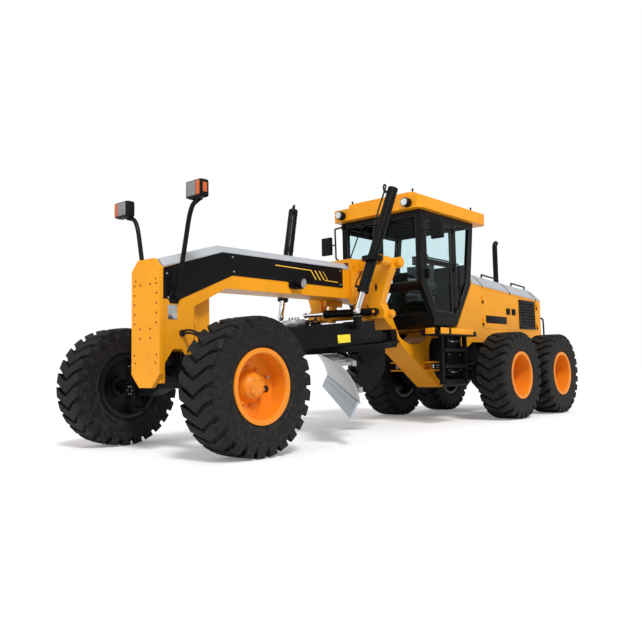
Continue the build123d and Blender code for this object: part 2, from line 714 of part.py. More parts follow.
def make_barrel(name, base, tip, start, end, radius, wall, head, hinge, eye, eye_half, pin):
    """A barrel along the line from base to tip, closed at its start, with an eye that turns on a pin at its base."""
    with BuildPart() as barrel:
        bar(along(base, tip, start), along(base, tip, end), radius)
        bar(along(base, tip, end - head), along(base, tip, end), radius + 6)
        bar(base, along(base, tip, start + 5), radius * 0.6)
        bar(offset_point(base, hinge, -eye_half), offset_point(base, hinge, eye_half), eye)
        bar(
            offset_point(base, hinge, -2 * eye), offset_point(base, hinge, 2 * eye), pin + FIT,
            mode=Mode.SUBTRACT,
        )
        bar(along(base, tip, start + head), along(base, tip, end - head), radius - wall, mode=Mode.SUBTRACT)
        bar(
            along(base, tip, end - head - 1), along(base, tip, end + 1), radius * ROD_SHARE + FIT,
            mode=Mode.SUBTRACT,
        )
    save(barrel.part, name)


def make_rod(name, base, tip, inner, radius, wall, piston, eye, eye_half=0, hinge=None):
    """A rod with its piston, ending in a ball, or in an eye where it has a hinge direction."""
    with BuildPart() as rod:
        bar(along(base, tip, inner), along(base, tip, span(base, tip) - eye * 0.5), radius * ROD_SHARE)
        bar(along(base, tip, inner), along(base, tip, inner + piston), radius - wall - FIT)
        if hinge is None:
            with Locations(tip):
                Sphere(eye)
        else:
            bar(offset_point(tip, hinge, -eye_half), offset_point(tip, hinge, eye_half), eye)
    save(rod.part, name)


def offset_point(point, direction, distance):
    return tuple(Vector(*point) + Vector(*direction).normalized() * distance)


LIFT_R = 66
LIFT_WALL = 9
LIFT_BALL = 45
BALL_GAP = 20  # the open end of each lift linkage
LIFT_ABOVE = 985  # barrel above its ring
LIFT_BELOW = 455  # barrel below its ring
for side, sign in SIDES:
    middle = (RING_AT[0], sign * RING_AT[1], RING_AT[2])
    foot = on_drawbar(PAD_AT[0], sign * PAD_AT[1], PAD_TOP + LIFT_BALL + BALL_GAP)
    with BuildPart() as ring:
        with Locations(middle):
            Cylinder(RING_R, 2 * RING_HALF)
            Cylinder(RING_BORE, 2 * RING_HALF + 2, mode=Mode.SUBTRACT)
        bar(
            offset_point(middle, (0, 1, 0), -RING_R - 5), offset_point(middle, (0, 1, 0), RING_R + 5),
            18 + FIT, mode=Mode.SUBTRACT,
        )
        bar(middle, offset_point(middle, (-1, 0, 0), RING_R + 20), RING_PIN_R + FIT, mode=Mode.SUBTRACT)
    save(ring.part, "lift_ring_" + side)
    with BuildPart() as barrel:
        top = along(middle, foot, -LIFT_ABOVE)
        low = along(middle, foot, LIFT_BELOW)
        bar(top, low, LIFT_R)
        bar(along(middle, foot, LIFT_BELOW - 60), low, LIFT_R + 8)
        bar(
            along(middle, foot, 30 - LIFT_ABOVE), along(middle, foot, LIFT_BELOW + 1), LIFT_R - LIFT_WALL,
            mode=Mode.SUBTRACT,
        )
        bar(along(middle, foot, LIFT_BELOW - 50), low, LIFT_R)
        bar(
            along(middle, foot, LIFT_BELOW - 51), along(middle, foot, LIFT_BELOW + 1),
            LIFT_R * ROD_SHARE + FIT, mode=Mode.SUBTRACT,
        )
        for end in (1, -1):
            bar(offset_point(middle, (0, end, 0), LIFT_R - 5), offset_point(middle, (0, end, 0), RING_R), 18)
    save(barrel.part, "lift_barrel_" + side)
    make_rod("lift_rod_" + side, middle, foot, -80, LIFT_R, LIFT_WALL, 60, LIFT_BALL)

SHIFT_R = 52
SHIFT_BALL = 40
SHIFT_TIP = on_drawbar(*SHIFT_AT, SHIFT_TOP + SHIFT_BALL + BALL_GAP)
make_barrel("shift_barrel", SHIFT_BASE, SHIFT_TIP, 60, 745, SHIFT_R, 8, 40, (1, 0, 0), 46, 28, SHIFT_PIN_R)
make_rod("shift_rod", SHIFT_BASE, SHIFT_TIP, 290, SHIFT_R, 8, 50, SHIFT_BALL)

TIP_HINGE = tuple(CIRC.y_dir)
TIP_LINE = (on_circle(TIP_BASE[0], 0, TIP_BASE[1]), on_circle(TIP_END[0], 0, TIP_END[1]))
make_barrel("tip_barrel", *TIP_LINE, 50, 340, TIP_R, 6, 15, TIP_HINGE, 28, 34, 14)
make_rod("tip_rod", *TIP_LINE, 66, TIP_R, 6, 14, 26, 24, TIP_HINGE)

ARTIC_BASE = (-5560, 500, 820)
ARTIC_TIP = (-4480, 330, 820)
ARTIC_R = 50
ARTIC_EYE = 45
ARTIC_PIN_R = 22
for side, sign in SIDES:
    base = (ARTIC_BASE[0], sign * ARTIC_BASE[1], ARTIC_BASE[2])
    tip = (ARTIC_TIP[0], sign * ARTIC_TIP[1], ARTIC_TIP[2])
    make_barrel(
        "articulation_barrel_" + side, base, tip, 60, 700, ARTIC_R, 8, 40, (0, 0, 1), ARTIC_EYE, 30,
        ARTIC_PIN_R,
    )
    make_rod("articulation_rod_" + side, base, tip, 340, ARTIC_R, 8, 50, 42, 30, (0, 0, 1))

# ---------------------------------------------------------------- rear frame
RAIL_Y = (290, 400)
RAIL_Z = (900, 1180)
CASE_Y = (560, 720)
NOSE_BORE = HITCH_PIN_R + FIT
JAW_Z = (980, 1100)  # middles of the tow jaw's plates
JAW_T = 30
JAW_PIN_R = 16
JAW_PIN_IN = 38
FOOT_XS = (-4080, -4440)  # cross bearers and the cab's feet

with BuildPart() as rear_frame:
    for side, sign in SIDES:
        block((-5300, -REAR_END + 200), (sign * RAIL_Y[0], sign * RAIL_Y[1]), RAIL_Z)
        # lugs of the articulation cylinders
        for z in (775, 865):
            block((-5640, -5525), (sign * 390, sign * 548), (z - 11, z + 11))
        block((-5640, -5525), (sign * 300, sign * 400), (760, 900))
        bar(
            (ARTIC_BASE[0], sign * ARTIC_BASE[1], 764), (ARTIC_BASE[0], sign * ARTIC_BASE[1], 876),
            ARTIC_PIN_R,
        )
        # outriggers under the cab and platform
        for x in FOOT_XS:
            block((x - 60, x + 60), (sign * 460, sign * 930), (1262, 1310))
        block((-5420, -3960), (sign * 460, sign * 540), (1262, 1340))
        block((-5420, -5300), (sign * 300, sign * 540), (1100, 1340))
        # tank and battery box
        block((-4600, -4200), (sign * 640, sign * 740), (680, 1262))
        # platform edge
        block((-4720, -3700), (sign * 700, sign * 930), (1240, 1310))
        # bearers of the hood
        for x in (-5750, -6680, -7600):
            block((x - 30, x + 30), (sign * 390, sign * 598), (1120, 1180))
    block((-5420, -5300), (-400, 400), RAIL_Z)
    block((-6320, -6120), (-290, 290), (900, 1100))
    block((-7560, -7440), (-290, 290), RAIL_Z)
    # hitch nose: a bored tube on a neck
    block((-5310, HITCH_X), (-90, 90), (620, 1230))
    with Locations((HITCH_X, 0, (HITCH_ARMS[0][1] + HITCH_ARMS[1][0]) / 2)):
        Cylinder(HITCH_EYE_R, HITCH_ARMS[1][0] - HITCH_ARMS[0][1] - 12)
        Cylinder(NOSE_BORE, 800, mode=Mode.SUBTRACT)
    block((-5420, -5300), (-300, 300), (620, 920))
    # rear bumper with a tow jaw
    block((-REAR_END + 80, -REAR_END + 200), (-560, 560), (860, 1260))
    for z in JAW_Z:
        with BuildSketch(level_plane(z - JAW_T / 2)):
            with BuildLine():
                Polyline(
                    (-REAR_END + 90, 90), (-REAR_END + 90, -90), (-REAR_END, -50), (-REAR_END, 50),
                    close=True,
                )
            make_face()
        extrude(amount=JAW_T)
    bar((-REAR_END + JAW_PIN_IN, 0, 950), (-REAR_END + JAW_PIN_IN, 0, 1130), JAW_PIN_R, mode=Mode.SUBTRACT)
save(rear_frame.part, "rear_frame")

with BuildPart() as engine:
    block((-7300, -5900), (-310, 310), (RAIL_Z[1], 1900))
save(engine.part, "engine")

with BuildPart() as tandem_axle:
    for side, sign in SIDES:
        with BuildSketch(side_plane(sign * (CASE_Y[0] + CASE_Y[1]) / 2)):
            with BuildLine():
                Polyline(
                    (
                        REAR_AXLE_XS[0] + 260, 560,
                    ), (REAR_AXLE_XS[0] + 260, 780), (REAR_AXLE_XS[0] + 80, 870), (-WHEELBASE + 240, 900),
                    (-WHEELBASE - 240, 900), (REAR_AXLE_XS[1] - 80, 870), (REAR_AXLE_XS[1] - 260, 780),
                    (REAR_AXLE_XS[1] - 260, 560), (REAR_AXLE_XS[1] - 80, 450), (REAR_AXLE_XS[0] + 80, 450),
                    close=True,
                )
            make_face()
        extrude(amount=(CASE_Y[1] - CASE_Y[0]) / 2, both=True)
        for x in REAR_AXLE_XS:
            bar((x, sign * 700, TYRE_R), (x, sign * (TREAD / 2 + DISC_AT["rear"] - HUB_IN - 1), TYRE_R), 90)
            bar(
                (x, sign * 700, TYRE_R),
                (x, sign * (TREAD / 2 + DISC_AT["rear"] + SPINDLE_IN - FIT), TYRE_R), SPINDLE_R,
            )
    bar((-WHEELBASE, -560, 720), (-WHEELBASE, 560, 720), 150)
    block((-WHEELBASE - 100, -WHEELBASE + 100), (-400, 400), (720, 900))
save(tandem_axle.part, "tandem_axle")

# ---------------------------------------------------------------- door hinges
HINGE_R = 12
HINGE_PIN_R = 6
HINGE_H = 40  # height of each half
HINGE_LEAF = 42
HINGE_BESIDE = 3  # the pin stands this far beside the opening
CAB_HINGE_Z = (1600, 2210, 2790)
HOOD_HINGE_Z = (1490, 1850)


def hinge_fixed(x, face, z, toward):
    """The fixed half of a hinge with its pin; face is the Y of the wall, and the door lies toward +1 or -1 along X."""
    y = face + HINGE_R * (1 if face > 0 else -1)
    bar((x, y, z), (x, y, z + HINGE_H), HINGE_R)
    bar((x, y, z), (x, y, z + 2 * HINGE_H), HINGE_PIN_R)
    block((x, x - toward * HINGE_LEAF), (face, y), (z, z + HINGE_H))


def hinge_moving(x, face, z, toward):
    outward = 1 if face > 0 else -1
    y = face + HINGE_R * outward
    low, high = z + HINGE_H + 1, z + 2 * HINGE_H
    bar((x, y, low), (x, y, high), HINGE_R)
    block((x, x + toward * HINGE_R), (face + 4 * outward, y), (low, high))
    block((x + toward * HINGE_R, x + toward * HINGE_LEAF), (face - 2 * outward, y), (low, high))
    bar((x, y, low - 1), (x, y, high + 1), HINGE_PIN_R + FIT, mode=Mode.SUBTRACT)


# ---------------------------------------------------------------- cab
# The side outline is (X, Z): upright front, cut-back lower corners, and a slanting rear above the hood's
# shroud.
CAB_HALF = 700
CAB_OUTLINE = [
    (-3650, 3020), (-3650, 1950), (-3950, 1500), (-3950, 1400), (-4560, 1400), (-5020, 2050), (-5160, 3020),
]
POST = 75
FLOOR_TOP = 1400 + POST
DOOR_X = (-3725, -4530)  # front and hinge edge of the door opening
DOOR_OPEN = [(DOOR_X[0], 2935), (DOOR_X[0], 1965), (-3985, 1530), (DOOR_X[1], 1530), (DOOR_X[1], 2935)]
QUARTER_OPEN = [(-4610, 2935), (-4610, 1620), (-4925, 2065), (-5060, 2935)]
SCREEN_Z = (2000, 2945)
REAR_SCREEN_Z = (2160, 2945)
LOW_SCREEN = 380  # height of the slanting lower windscreen
GLASS_T = 8
CAB_HINGE_X = DOOR_X[1] - HINGE_BESIDE
WHEEL_MID = (-4190, 0, 2160)
DOOR_GAP = 6
DOOR_T = 40
DOOR_FRAME = 55
MID_RAIL_Z = (2285, 2335)
LOW_SCREEN_PLANE = Plane(origin=(-3800, 0, 1725), x_dir=(0, 1, 0), z_dir=(450, 0, -300))
SCREEN_HALF = CAB_HALF - POST


def outline_face(points, plane, inward=0):
    """A closed straight-sided face, drawn in by a distance."""
    with BuildSketch(plane) as shape:
        with BuildLine():
            Polyline(*points, close=True)
        make_face()
        if inward:
            offset(amount=-inward, kind=Kind.INTERSECTION)
    return shape.sketch


with BuildPart() as cab_shell:
    plate(CAB_OUTLINE, side_plane(), CAB_HALF)
    extrude(
        outline_face(CAB_OUTLINE, side_plane(), POST), amount=CAB_HALF - POST, both=True,
        mode=Mode.SUBTRACT,
    )
    for opening in (DOOR_OPEN, QUARTER_OPEN):
        plate(opening, side_plane(), CAB_HALF + 10, mode=Mode.SUBTRACT)
    block((-3760, -3600), (-SCREEN_HALF, SCREEN_HALF), SCREEN_Z, mode=Mode.SUBTRACT)
    block((-5260, -4990), (-SCREEN_HALF, SCREEN_HALF), REAR_SCREEN_Z, mode=Mode.SUBTRACT)
    with BuildSketch(LOW_SCREEN_PLANE) as low_screen:
        Rectangle(2 * SCREEN_HALF, LOW_SCREEN)
    extrude(low_screen.sketch, amount=160, both=True, mode=Mode.SUBTRACT)
    # feet under the floor
    for side, sign in SIDES:
        for x in FOOT_XS:
            block((x - 40, x + 40), (sign * 460, sign * 540), (1340, 1400))
        for z in CAB_HINGE_Z:
            hinge_fixed(CAB_HINGE_X, sign * CAB_HALF, z, 1)
save(cab_shell.part, "cab_shell")

with BuildPart() as cab_glass:
    block((-3650 - 30, -3650 - 30 - GLASS_T), (-SCREEN_HALF, SCREEN_HALF), SCREEN_Z)
    extrude(low_screen.sketch, amount=-GLASS_T)
    with BuildSketch(side_plane()) as rear_pane:
        with BuildLine():
            lean = (5160 - 5020) / (3020 - 2050)
            foot = -5020 - (REAR_SCREEN_Z[0] - 2050) * lean + 30
            head = -5020 - (REAR_SCREEN_Z[1] - 2050) * lean + 30
            Polyline(
                (foot, REAR_SCREEN_Z[0]), (foot + GLASS_T, REAR_SCREEN_Z[0]),
                (head + GLASS_T, REAR_SCREEN_Z[1]), (head, REAR_SCREEN_Z[1]), close=True,
            )
        make_face()
    extrude(rear_pane.sketch, amount=SCREEN_HALF, both=True)
    for side, sign in SIDES:
        plate(QUARTER_OPEN, side_plane(sign * (CAB_HALF - 30)), GLASS_T / 2)
save(cab_glass.part, "cab_glass")

with BuildPart() as cab_roof:
    block((-5440, -3530), (-775, 775), (3020, 3200))
    block((-5400, -3560), (-520, 640), (3200, 3262))
    chamfer(cab_roof.edges().filter_by(Axis.Z), 40)
    for side, sign in SIDES:
        bar((-3535, sign * 590, 3100), (-3440, sign * 590, 3100), 58)
save(cab_roof.part, "cab_roof")

for side, sign in SIDES:
    middle = side_plane(sign * (CAB_HALF - DOOR_T / 2))
    whole = outline_face(DOOR_OPEN, middle, DOOR_GAP)
    light = outline_face(DOOR_OPEN, middle, DOOR_GAP + DOOR_FRAME)
    with BuildPart() as panes:
        extrude(light, amount=GLASS_T / 2, both=True)
        block((-5000, -3000), (sign * 600, sign * 800), MID_RAIL_Z, mode=Mode.SUBTRACT)
    save(panes.part, "door_glass_" + side)
    with BuildPart() as door:
        extrude(whole, amount=DOOR_T / 2, both=True)
        extrude(light, amount=DOOR_T, both=True, mode=Mode.SUBTRACT)
        block((DOOR_X[0] - 30, DOOR_X[1] + 30), (sign * (CAB_HALF - DOOR_T), sign * CAB_HALF), MID_RAIL_Z)
        # pull handle on the leading edge
        block((-3810, -3770), (sign * CAB_HALF, sign * (CAB_HALF + 28)), (2050, 2180))
        for z in CAB_HINGE_Z:
            hinge_moving(CAB_HINGE_X, sign * CAB_HALF, z, 1)
    save(door.part, "cab_door_" + side)

SEAT_X = -4450
with BuildPart() as seat_and_console:
    block((SEAT_X - 250, SEAT_X + 230), (-250, 250), (1800, 1920))
    block((SEAT_X - 300, SEAT_X - 200), (-240, 240), (1920 + FIT, 2520))
    block((SEAT_X - 50, SEAT_X + 160), (-180, 180), (FLOOR_TOP, 1800))
    # console with its steering wheel
    block((-4160, -4060), (-130, 130), (FLOOR_TOP, 1900))
    bar((-4110, 0, 1850), WHEEL_MID, 32)
    for side, sign in SIDES:
        block((-4200, -4080), (sign * 150, sign * 260), (1990, 2090))
        bar((-4110, sign * 60, 1880), (-4130, sign * 200, 2030), 22)
    with Locations(Plane(origin=WHEEL_MID, z_dir=(-80, 0, 310))):
        Torus(185, 15)
        Cylinder(40, 20)
        Box(350, 36, 12)
save(seat_and_console.part, "seat_and_console")

with BuildPart() as mirrors:
    for side, sign in SIDES:
        route = [(-3634, 690, 2960), (-3560, 770, 2930), (-3560, 760, 2480), (-3634, 690, 2380)]
        for start, end in zip(route, route[1:]):
            bar((start[0], sign * start[1], start[2]), (end[0], sign * end[1], end[2]), 13)
        for point in route[1:-1]:
            with Locations((point[0], sign * point[1], point[2])):
                Sphere(13)
        for point in (route[0], route[-1]):
            block(
                (-3650, -3630), (sign * (point[1] - 40), sign * (point[1] + 10)),
                (point[2] - 40, point[2] + 40),
            )
        bar((-3560, sign * 765, 2690), (-3620, sign * 960, 2690), 11)
        block((-3650, -3600), (sign * 900, sign * 1080), (2560, 2830))
save(mirrors.part, "mirrors")

LADDER_X = (-3915, -4560)
LADDER_Y = (765, 865)
with BuildPart() as ladders:
    for side, sign in SIDES:
        for x in LADDER_X:
            block((x - 22, x + 22), (sign * (LADDER_Y[0] + 20), sign * (LADDER_Y[1] - 20)), (560, 1240))
        for z in (560, 790, 1020):
            block((LADDER_X[0] - 22, LADDER_X[1] + 22), (sign * LADDER_Y[0], sign * LADDER_Y[1]), (z, z + 40))
save(ladders.part, "ladders")

# ---------------------------------------------------------------- hood
HOOD_HALF = 600
HOOD_T = 30
HOOD_REAR = -7780
HOOD_LOW = 1370
HOOD_FRONT = ((-5265, 2140), (-4735, HOOD_LOW))  # slanting front edge: head and foot
SIDE_TOP = ((-5250, 2115), (HOOD_REAR, 1985))  # upper edge of the hood's sides
RIDGE_RISE = 170
RIDGE_HALF = 440
SEAMS = (-5570, -6550, -7600)
DOOR_Z = (1405, 45)  # lower edge, and how far the upper edge lies under the side's upper edge
HOOD_HINGE_XS = (SEAMS[0] + HINGE_BESIDE, SEAMS[2] - HINGE_BESIDE)
GRILLE_X = (-6915, -7510)
GRILLE_Z = (1465, 1925)
SLATS = 9


def side_top(x):
    (x0, z0), (x1, z1) = SIDE_TOP
    return z0 + (z1 - z0) * (x - x0) / (x1 - x0)


def hood_section(x, inward):
    half, ridge, top = HOOD_HALF - inward, RIDGE_HALF - inward, side_top(x) - inward * 0.5
    with BuildSketch(cross_plane(x)) as section:
        with BuildLine():
            Polyline(
                (-half, HOOD_LOW - (2 if inward else 0)), (-half, top), (
                    -ridge, top + RIDGE_RISE - inward * 0.5,
                ),
                (ridge, top + RIDGE_RISE - inward * 0.5), (half, top),
                (half, HOOD_LOW - (2 if inward else 0)), close=True,
            )
        make_face()
    return section.sketch


def door_outline(front, rear, gap):
    return [
        (front - gap, DOOR_Z[0] + gap), (rear + gap, DOOR_Z[0] + gap),
        (rear + gap, side_top(rear) - DOOR_Z[1] - gap), (front - gap, side_top(front) - DOOR_Z[1] - gap),
    ]


with BuildPart() as hood:
    loft([hood_section(-4700, 0), hood_section(HOOD_REAR, 0)], ruled=True)
    loft(
        [hood_section(-4600, HOOD_T), hood_section(HOOD_REAR + HOOD_T, HOOD_T)], ruled=True,
        mode=Mode.SUBTRACT,
    )
    (hx, hz), (fx, fz) = HOOD_FRONT
    lean = (hx - fx) / (hz - fz)
    plate(
        [(fx - 60 * lean, fz - 60), (hx + 300 * lean, hz + 300), (-4000, hz + 300), (-4000, fz - 60)],
        side_plane(), 800, mode=Mode.SUBTRACT,
    )
    for front, rear in zip(SEAMS, SEAMS[1:]):
        plate(door_outline(front, rear, 0), side_plane(), 800, mode=Mode.SUBTRACT)
    # bulkhead behind the slanting front edge
    plate([(fx, fz), (hx, hz), (hx - 20, hz), (fx - 20, fz)], side_plane(), HOOD_HALF - 20)
    # skirts below the doors, deeper ahead of the middle wheels
    for side, sign in SIDES:
        plate(
            [
                (-4735, HOOD_LOW + 1), (-4790, 1110), (-5060, 1110), (-5200, 1180), (HOOD_REAR, 1180),
                (HOOD_REAR, HOOD_LOW + 1),
            ],
            side_plane(sign * (HOOD_HALF - 12.5)), 12.5,
        )
    # inner post between the doors
    for side, sign in SIDES:
        block((SEAMS[1] - 30, SEAMS[1] + 30), (sign * 530, sign * 564), (HOOD_LOW, side_top(SEAMS[1])))
        block(
            (SEAMS[1] - 30, SEAMS[1] + 30), (sign * 530, sign * 600),
            (side_top(SEAMS[1]) - 44, side_top(SEAMS[1]) - 5),
        )
        for z in HOOD_HINGE_Z:
            hinge_fixed(HOOD_HINGE_XS[0], sign * HOOD_HALF, z, -1)
            hinge_fixed(HOOD_HINGE_XS[1], sign * HOOD_HALF, z, 1)
    # rear opening for the radiator
    block((HOOD_REAR - 5, HOOD_REAR + HOOD_T + 5), (-430, 430), (1460, 1930), mode=Mode.SUBTRACT)
    for k in range(SLATS):
        z = 1480 + k * (430 / (SLATS - 1))
        block((HOOD_REAR + 4, HOOD_REAR + 24), (-432, 432), (z - 9, z + 9))
save(hood.part, "hood")

for side, sign in SIDES:
    middle = side_plane(sign * (HOOD_HALF - HOOD_T / 2))
    with BuildPart() as front_door:
        plate(door_outline(SEAMS[0], SEAMS[1], DOOR_GAP / 2), middle, HOOD_T / 2)
        for z in HOOD_HINGE_Z:
            hinge_moving(HOOD_HINGE_XS[0], sign * HOOD_HALF, z, -1)
    save(front_door.part, "hood_door_front_" + side)
    with BuildPart() as rear_door:
        plate(door_outline(SEAMS[1], SEAMS[2], DOOR_GAP / 2), middle, HOOD_T / 2)
        block(
            GRILLE_X, (sign * (HOOD_HALF - HOOD_T - 5), sign * (HOOD_HALF + 5)), GRILLE_Z,
            mode=Mode.SUBTRACT,
        )
        for k in range(SLATS):
            z = GRILLE_Z[0] + 22 + k * (GRILLE_Z[1] - GRILLE_Z[0] - 44) / (SLATS - 1)
            block(
                (GRILLE_X[0] + 2, GRILLE_X[1] - 2), (sign * (HOOD_HALF - 24), sign * (HOOD_HALF - 6)),
                (z - 9, z + 9),
            )
        for z in HOOD_HINGE_Z:
            hinge_moving(HOOD_HINGE_XS[1], sign * HOOD_HALF, z, 1)
    save(rear_door.part, "hood_door_rear_" + side)

STACK_AT = (-7070, 100)
STACK_R = 45
STACK_TOP = 2950
ELBOW_R = 110
with BuildPart() as stack_and_rails:
    ridge = side_top(STACK_AT[0]) + RIDGE_RISE
    bar((STACK_AT[0], STACK_AT[1], ridge - 20), (STACK_AT[0], STACK_AT[1], STACK_TOP), STACK_R)
    with BuildSketch(level_plane(STACK_TOP)) as tip_ring:
        with Locations(STACK_AT):
            Circle(STACK_R)
            Circle(STACK_R - 6, mode=Mode.SUBTRACT)
    elbow = Axis((STACK_AT[0] - ELBOW_R, STACK_AT[1], STACK_TOP), (0, 1, 0))
    revolve(tip_ring.sketch, axis=elbow, revolution_arc=-60)
    bar((STACK_AT[0], STACK_AT[1], ridge - 20), (STACK_AT[0], STACK_AT[1], ridge + 25), STACK_R + 30)
    for front, rear in ((-6080, -6620), (-7190, -7730)):
        ends = [(x, 330, side_top(x) + RIDGE_RISE) for x in (front, rear)]
        for x, y, z in ends:
            bar((x, y, z - 20), (x, y, z + 100), 14)
            with Locations((x, y, z + 100)):
                Sphere(14)
        bar((front, 330, ends[0][2] + 100), (rear, 330, ends[1][2] + 100), 14)
    loft([hood_section(-4700, 0), hood_section(HOOD_REAR, 0)], ruled=True, mode=Mode.SUBTRACT)
    for side, sign in SIDES:
        for z in (1430, 1900):
            bar((HOOD_REAR, sign * 520, z), (HOOD_REAR - 90, sign * 520, z), 14)
            with Locations((HOOD_REAR - 90, sign * 520, z)):
                Sphere(14)
        bar((HOOD_REAR - 90, sign * 520, 1430), (HOOD_REAR - 90, sign * 520, 1900), 14)
save(stack_and_rails.part, "stack_and_rails")
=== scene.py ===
"""Motor grader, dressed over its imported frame. Metres: +X forward, +Y to the machine's left, +Z up."""

import bmesh
import bpy
from math import cos, pi, radians, sin
from mathutils import Matrix, Vector


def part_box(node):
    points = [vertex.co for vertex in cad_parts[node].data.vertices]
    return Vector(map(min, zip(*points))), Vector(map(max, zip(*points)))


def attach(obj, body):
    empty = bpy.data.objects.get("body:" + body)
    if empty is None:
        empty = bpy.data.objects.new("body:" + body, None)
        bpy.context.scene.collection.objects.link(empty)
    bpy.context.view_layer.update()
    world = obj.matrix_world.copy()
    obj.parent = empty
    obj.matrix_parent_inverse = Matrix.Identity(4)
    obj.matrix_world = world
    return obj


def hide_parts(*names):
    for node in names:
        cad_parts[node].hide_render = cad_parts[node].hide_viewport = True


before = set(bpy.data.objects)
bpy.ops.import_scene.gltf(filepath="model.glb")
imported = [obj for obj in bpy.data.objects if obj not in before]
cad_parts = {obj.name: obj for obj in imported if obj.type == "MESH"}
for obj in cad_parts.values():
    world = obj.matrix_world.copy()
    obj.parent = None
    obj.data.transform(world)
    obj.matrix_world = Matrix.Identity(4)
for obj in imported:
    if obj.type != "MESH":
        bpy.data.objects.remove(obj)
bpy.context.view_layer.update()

# ---------------------------------------------------------------- camera and studio
# The machine stands on a pale floor under a soft sky, with one broad lamp high at its front left.
# The camera is low, off the left front wheel, and looks back and slightly up along the machine.
scene = bpy.context.scene
scene.view_settings.view_transform = "Standard"

camera = bpy.data.objects.new("camera", bpy.data.cameras.new("camera"))
camera.data.lens = 38.87
camera.data.clip_end = 300
yaw, pitch, roll = radians(40.951), radians(4.781), radians(-1.134)
level_ahead = Vector((-cos(yaw), -sin(yaw), 0))
level_right = Vector((-sin(yaw), cos(yaw), 0))
ahead = level_ahead * cos(pitch) + Vector((0, 0, sin(pitch)))
above = level_ahead * -sin(pitch) + Vector((0, 0, cos(pitch)))
right = level_right * cos(roll) + above * sin(roll)
upward = above * cos(roll) - level_right * sin(roll)
camera.matrix_world = Matrix.Translation((8.139, 5.9, 0.81)) @ Matrix((right, upward,
    -ahead)).transposed().to_4x4()
scene.collection.objects.link(camera)
scene.camera = camera

SKY = 0.60  # strength of the sky's light
sky = bpy.data.worlds.new("sky")
sky.use_nodes = True
scene.world = sky
sky_links, sky_nodes = sky.node_tree.links, sky.node_tree.nodes
rays = sky_nodes.new("ShaderNodeLightPath")
seen = sky_nodes.new("ShaderNodeMath")
seen.operation = "MAXIMUM"
sky_links.new(rays.outputs["Is Camera Ray"], seen.inputs[0])
sky_links.new(rays.outputs["Is Transmission Ray"], seen.inputs[1])
level = sky_nodes.new("ShaderNodeMapRange")
level.inputs["To Min"].default_value = SKY
sky_links.new(seen.outputs[0], level.inputs["Value"])
sky_links.new(level.outputs[0], sky_nodes["Background"].inputs["Strength"])
sky_nodes["Background"].inputs["Color"].default_value = (1, 1, 1, 1)

# name, strength, shines from, width in degrees
LAMPS = (("sun", 2.3, (4, 7, 9), 14), ("fill", 0.55, (9, -2, 3), 50))
for name, strength, place, width in LAMPS:
    lamp = bpy.data.objects.new(name, bpy.data.lights.new(name, "SUN"))
    lamp.data.energy = strength
    lamp.data.angle = radians(width)
    lamp.rotation_euler = Vector(place).to_track_quat("Z", "Y").to_euler()
    scene.collection.objects.link(lamp)


def join_nodes(tree, kind, inputs=(), **settings):
    """Adds a shader node; inputs are pairs of a socket and a value or another node's output."""
    node = tree.nodes.new(kind)
    for key, value in settings.items():
        setattr(node, key, value)
    for socket, value in inputs:
        if isinstance(value, bpy.types.NodeSocket):
            tree.links.new(value, node.inputs[socket])
        else:
            node.inputs[socket].default_value = value
    return node


floor_skin = bpy.data.materials.new("pale_floor")
floor_skin.use_nodes = True
floor_tree = floor_skin.node_tree
floor_tree.nodes["Principled BSDF"].inputs["Base Color"].default_value = (0.86, 0.86, 0.86, 1)
floor_tree.nodes["Principled BSDF"].inputs["Roughness"].default_value = 0.9
floor_ray = join_nodes(floor_tree, "ShaderNodeLightPath")
floor_glow = join_nodes(floor_tree, "ShaderNodeMath", [(0, floor_ray.outputs["Is Camera Ray"]), (1, 0.16)],
    operation="MULTIPLY")
floor_tree.nodes["Principled BSDF"].inputs["Emission Color"].default_value = (1, 1, 1, 1)
floor_tree.links.new(floor_glow.outputs[0], floor_tree.nodes["Principled BSDF"].inputs["Emission Strength"])
floor_mesh = bmesh.new()
bmesh.ops.create_grid(floor_mesh, x_segments=1, y_segments=1, size=120)
floor_data = bpy.data.meshes.new("floor")
floor_mesh.to_mesh(floor_data)
floor = bpy.data.objects.new("floor", floor_data)
floor_data.materials.append(floor_skin)
scene.collection.objects.link(floor)

# ---------------------------------------------------------------- frame paint
# The frames and sheet panels are steel, welded or folded, then sprayed with two coats of two-pack enamel.
# It has a faint orange peel, paler rubbed edges, and road dust that thickens towards the ground.


def blend_colours(tree, amount, first, second, kind="MIX"):
    node = join_nodes(tree, "ShaderNodeMix", data_type="RGBA", blend_type=kind)
    for socket, value in ((0, amount), (6, first), (7, second)):
        if isinstance(value, bpy.types.NodeSocket):
            tree.links.new(value, node.inputs[socket])
        else:
            node.inputs[socket].default_value = value
    return node.outputs[2]


def scale_value(tree, value, low, high, new_low, new_high):
    return join_nodes(tree, "ShaderNodeMapRange", [
        ("Value", value), ("From Min", low), ("From Max", high), ("To Min", new_low), ("To Max", new_high),
    ]).outputs[0]


def times(tree, first, second, operation="MULTIPLY"):
    return join_nodes(tree, "ShaderNodeMath", [(0, first), (1, second)], operation=operation).outputs[0]


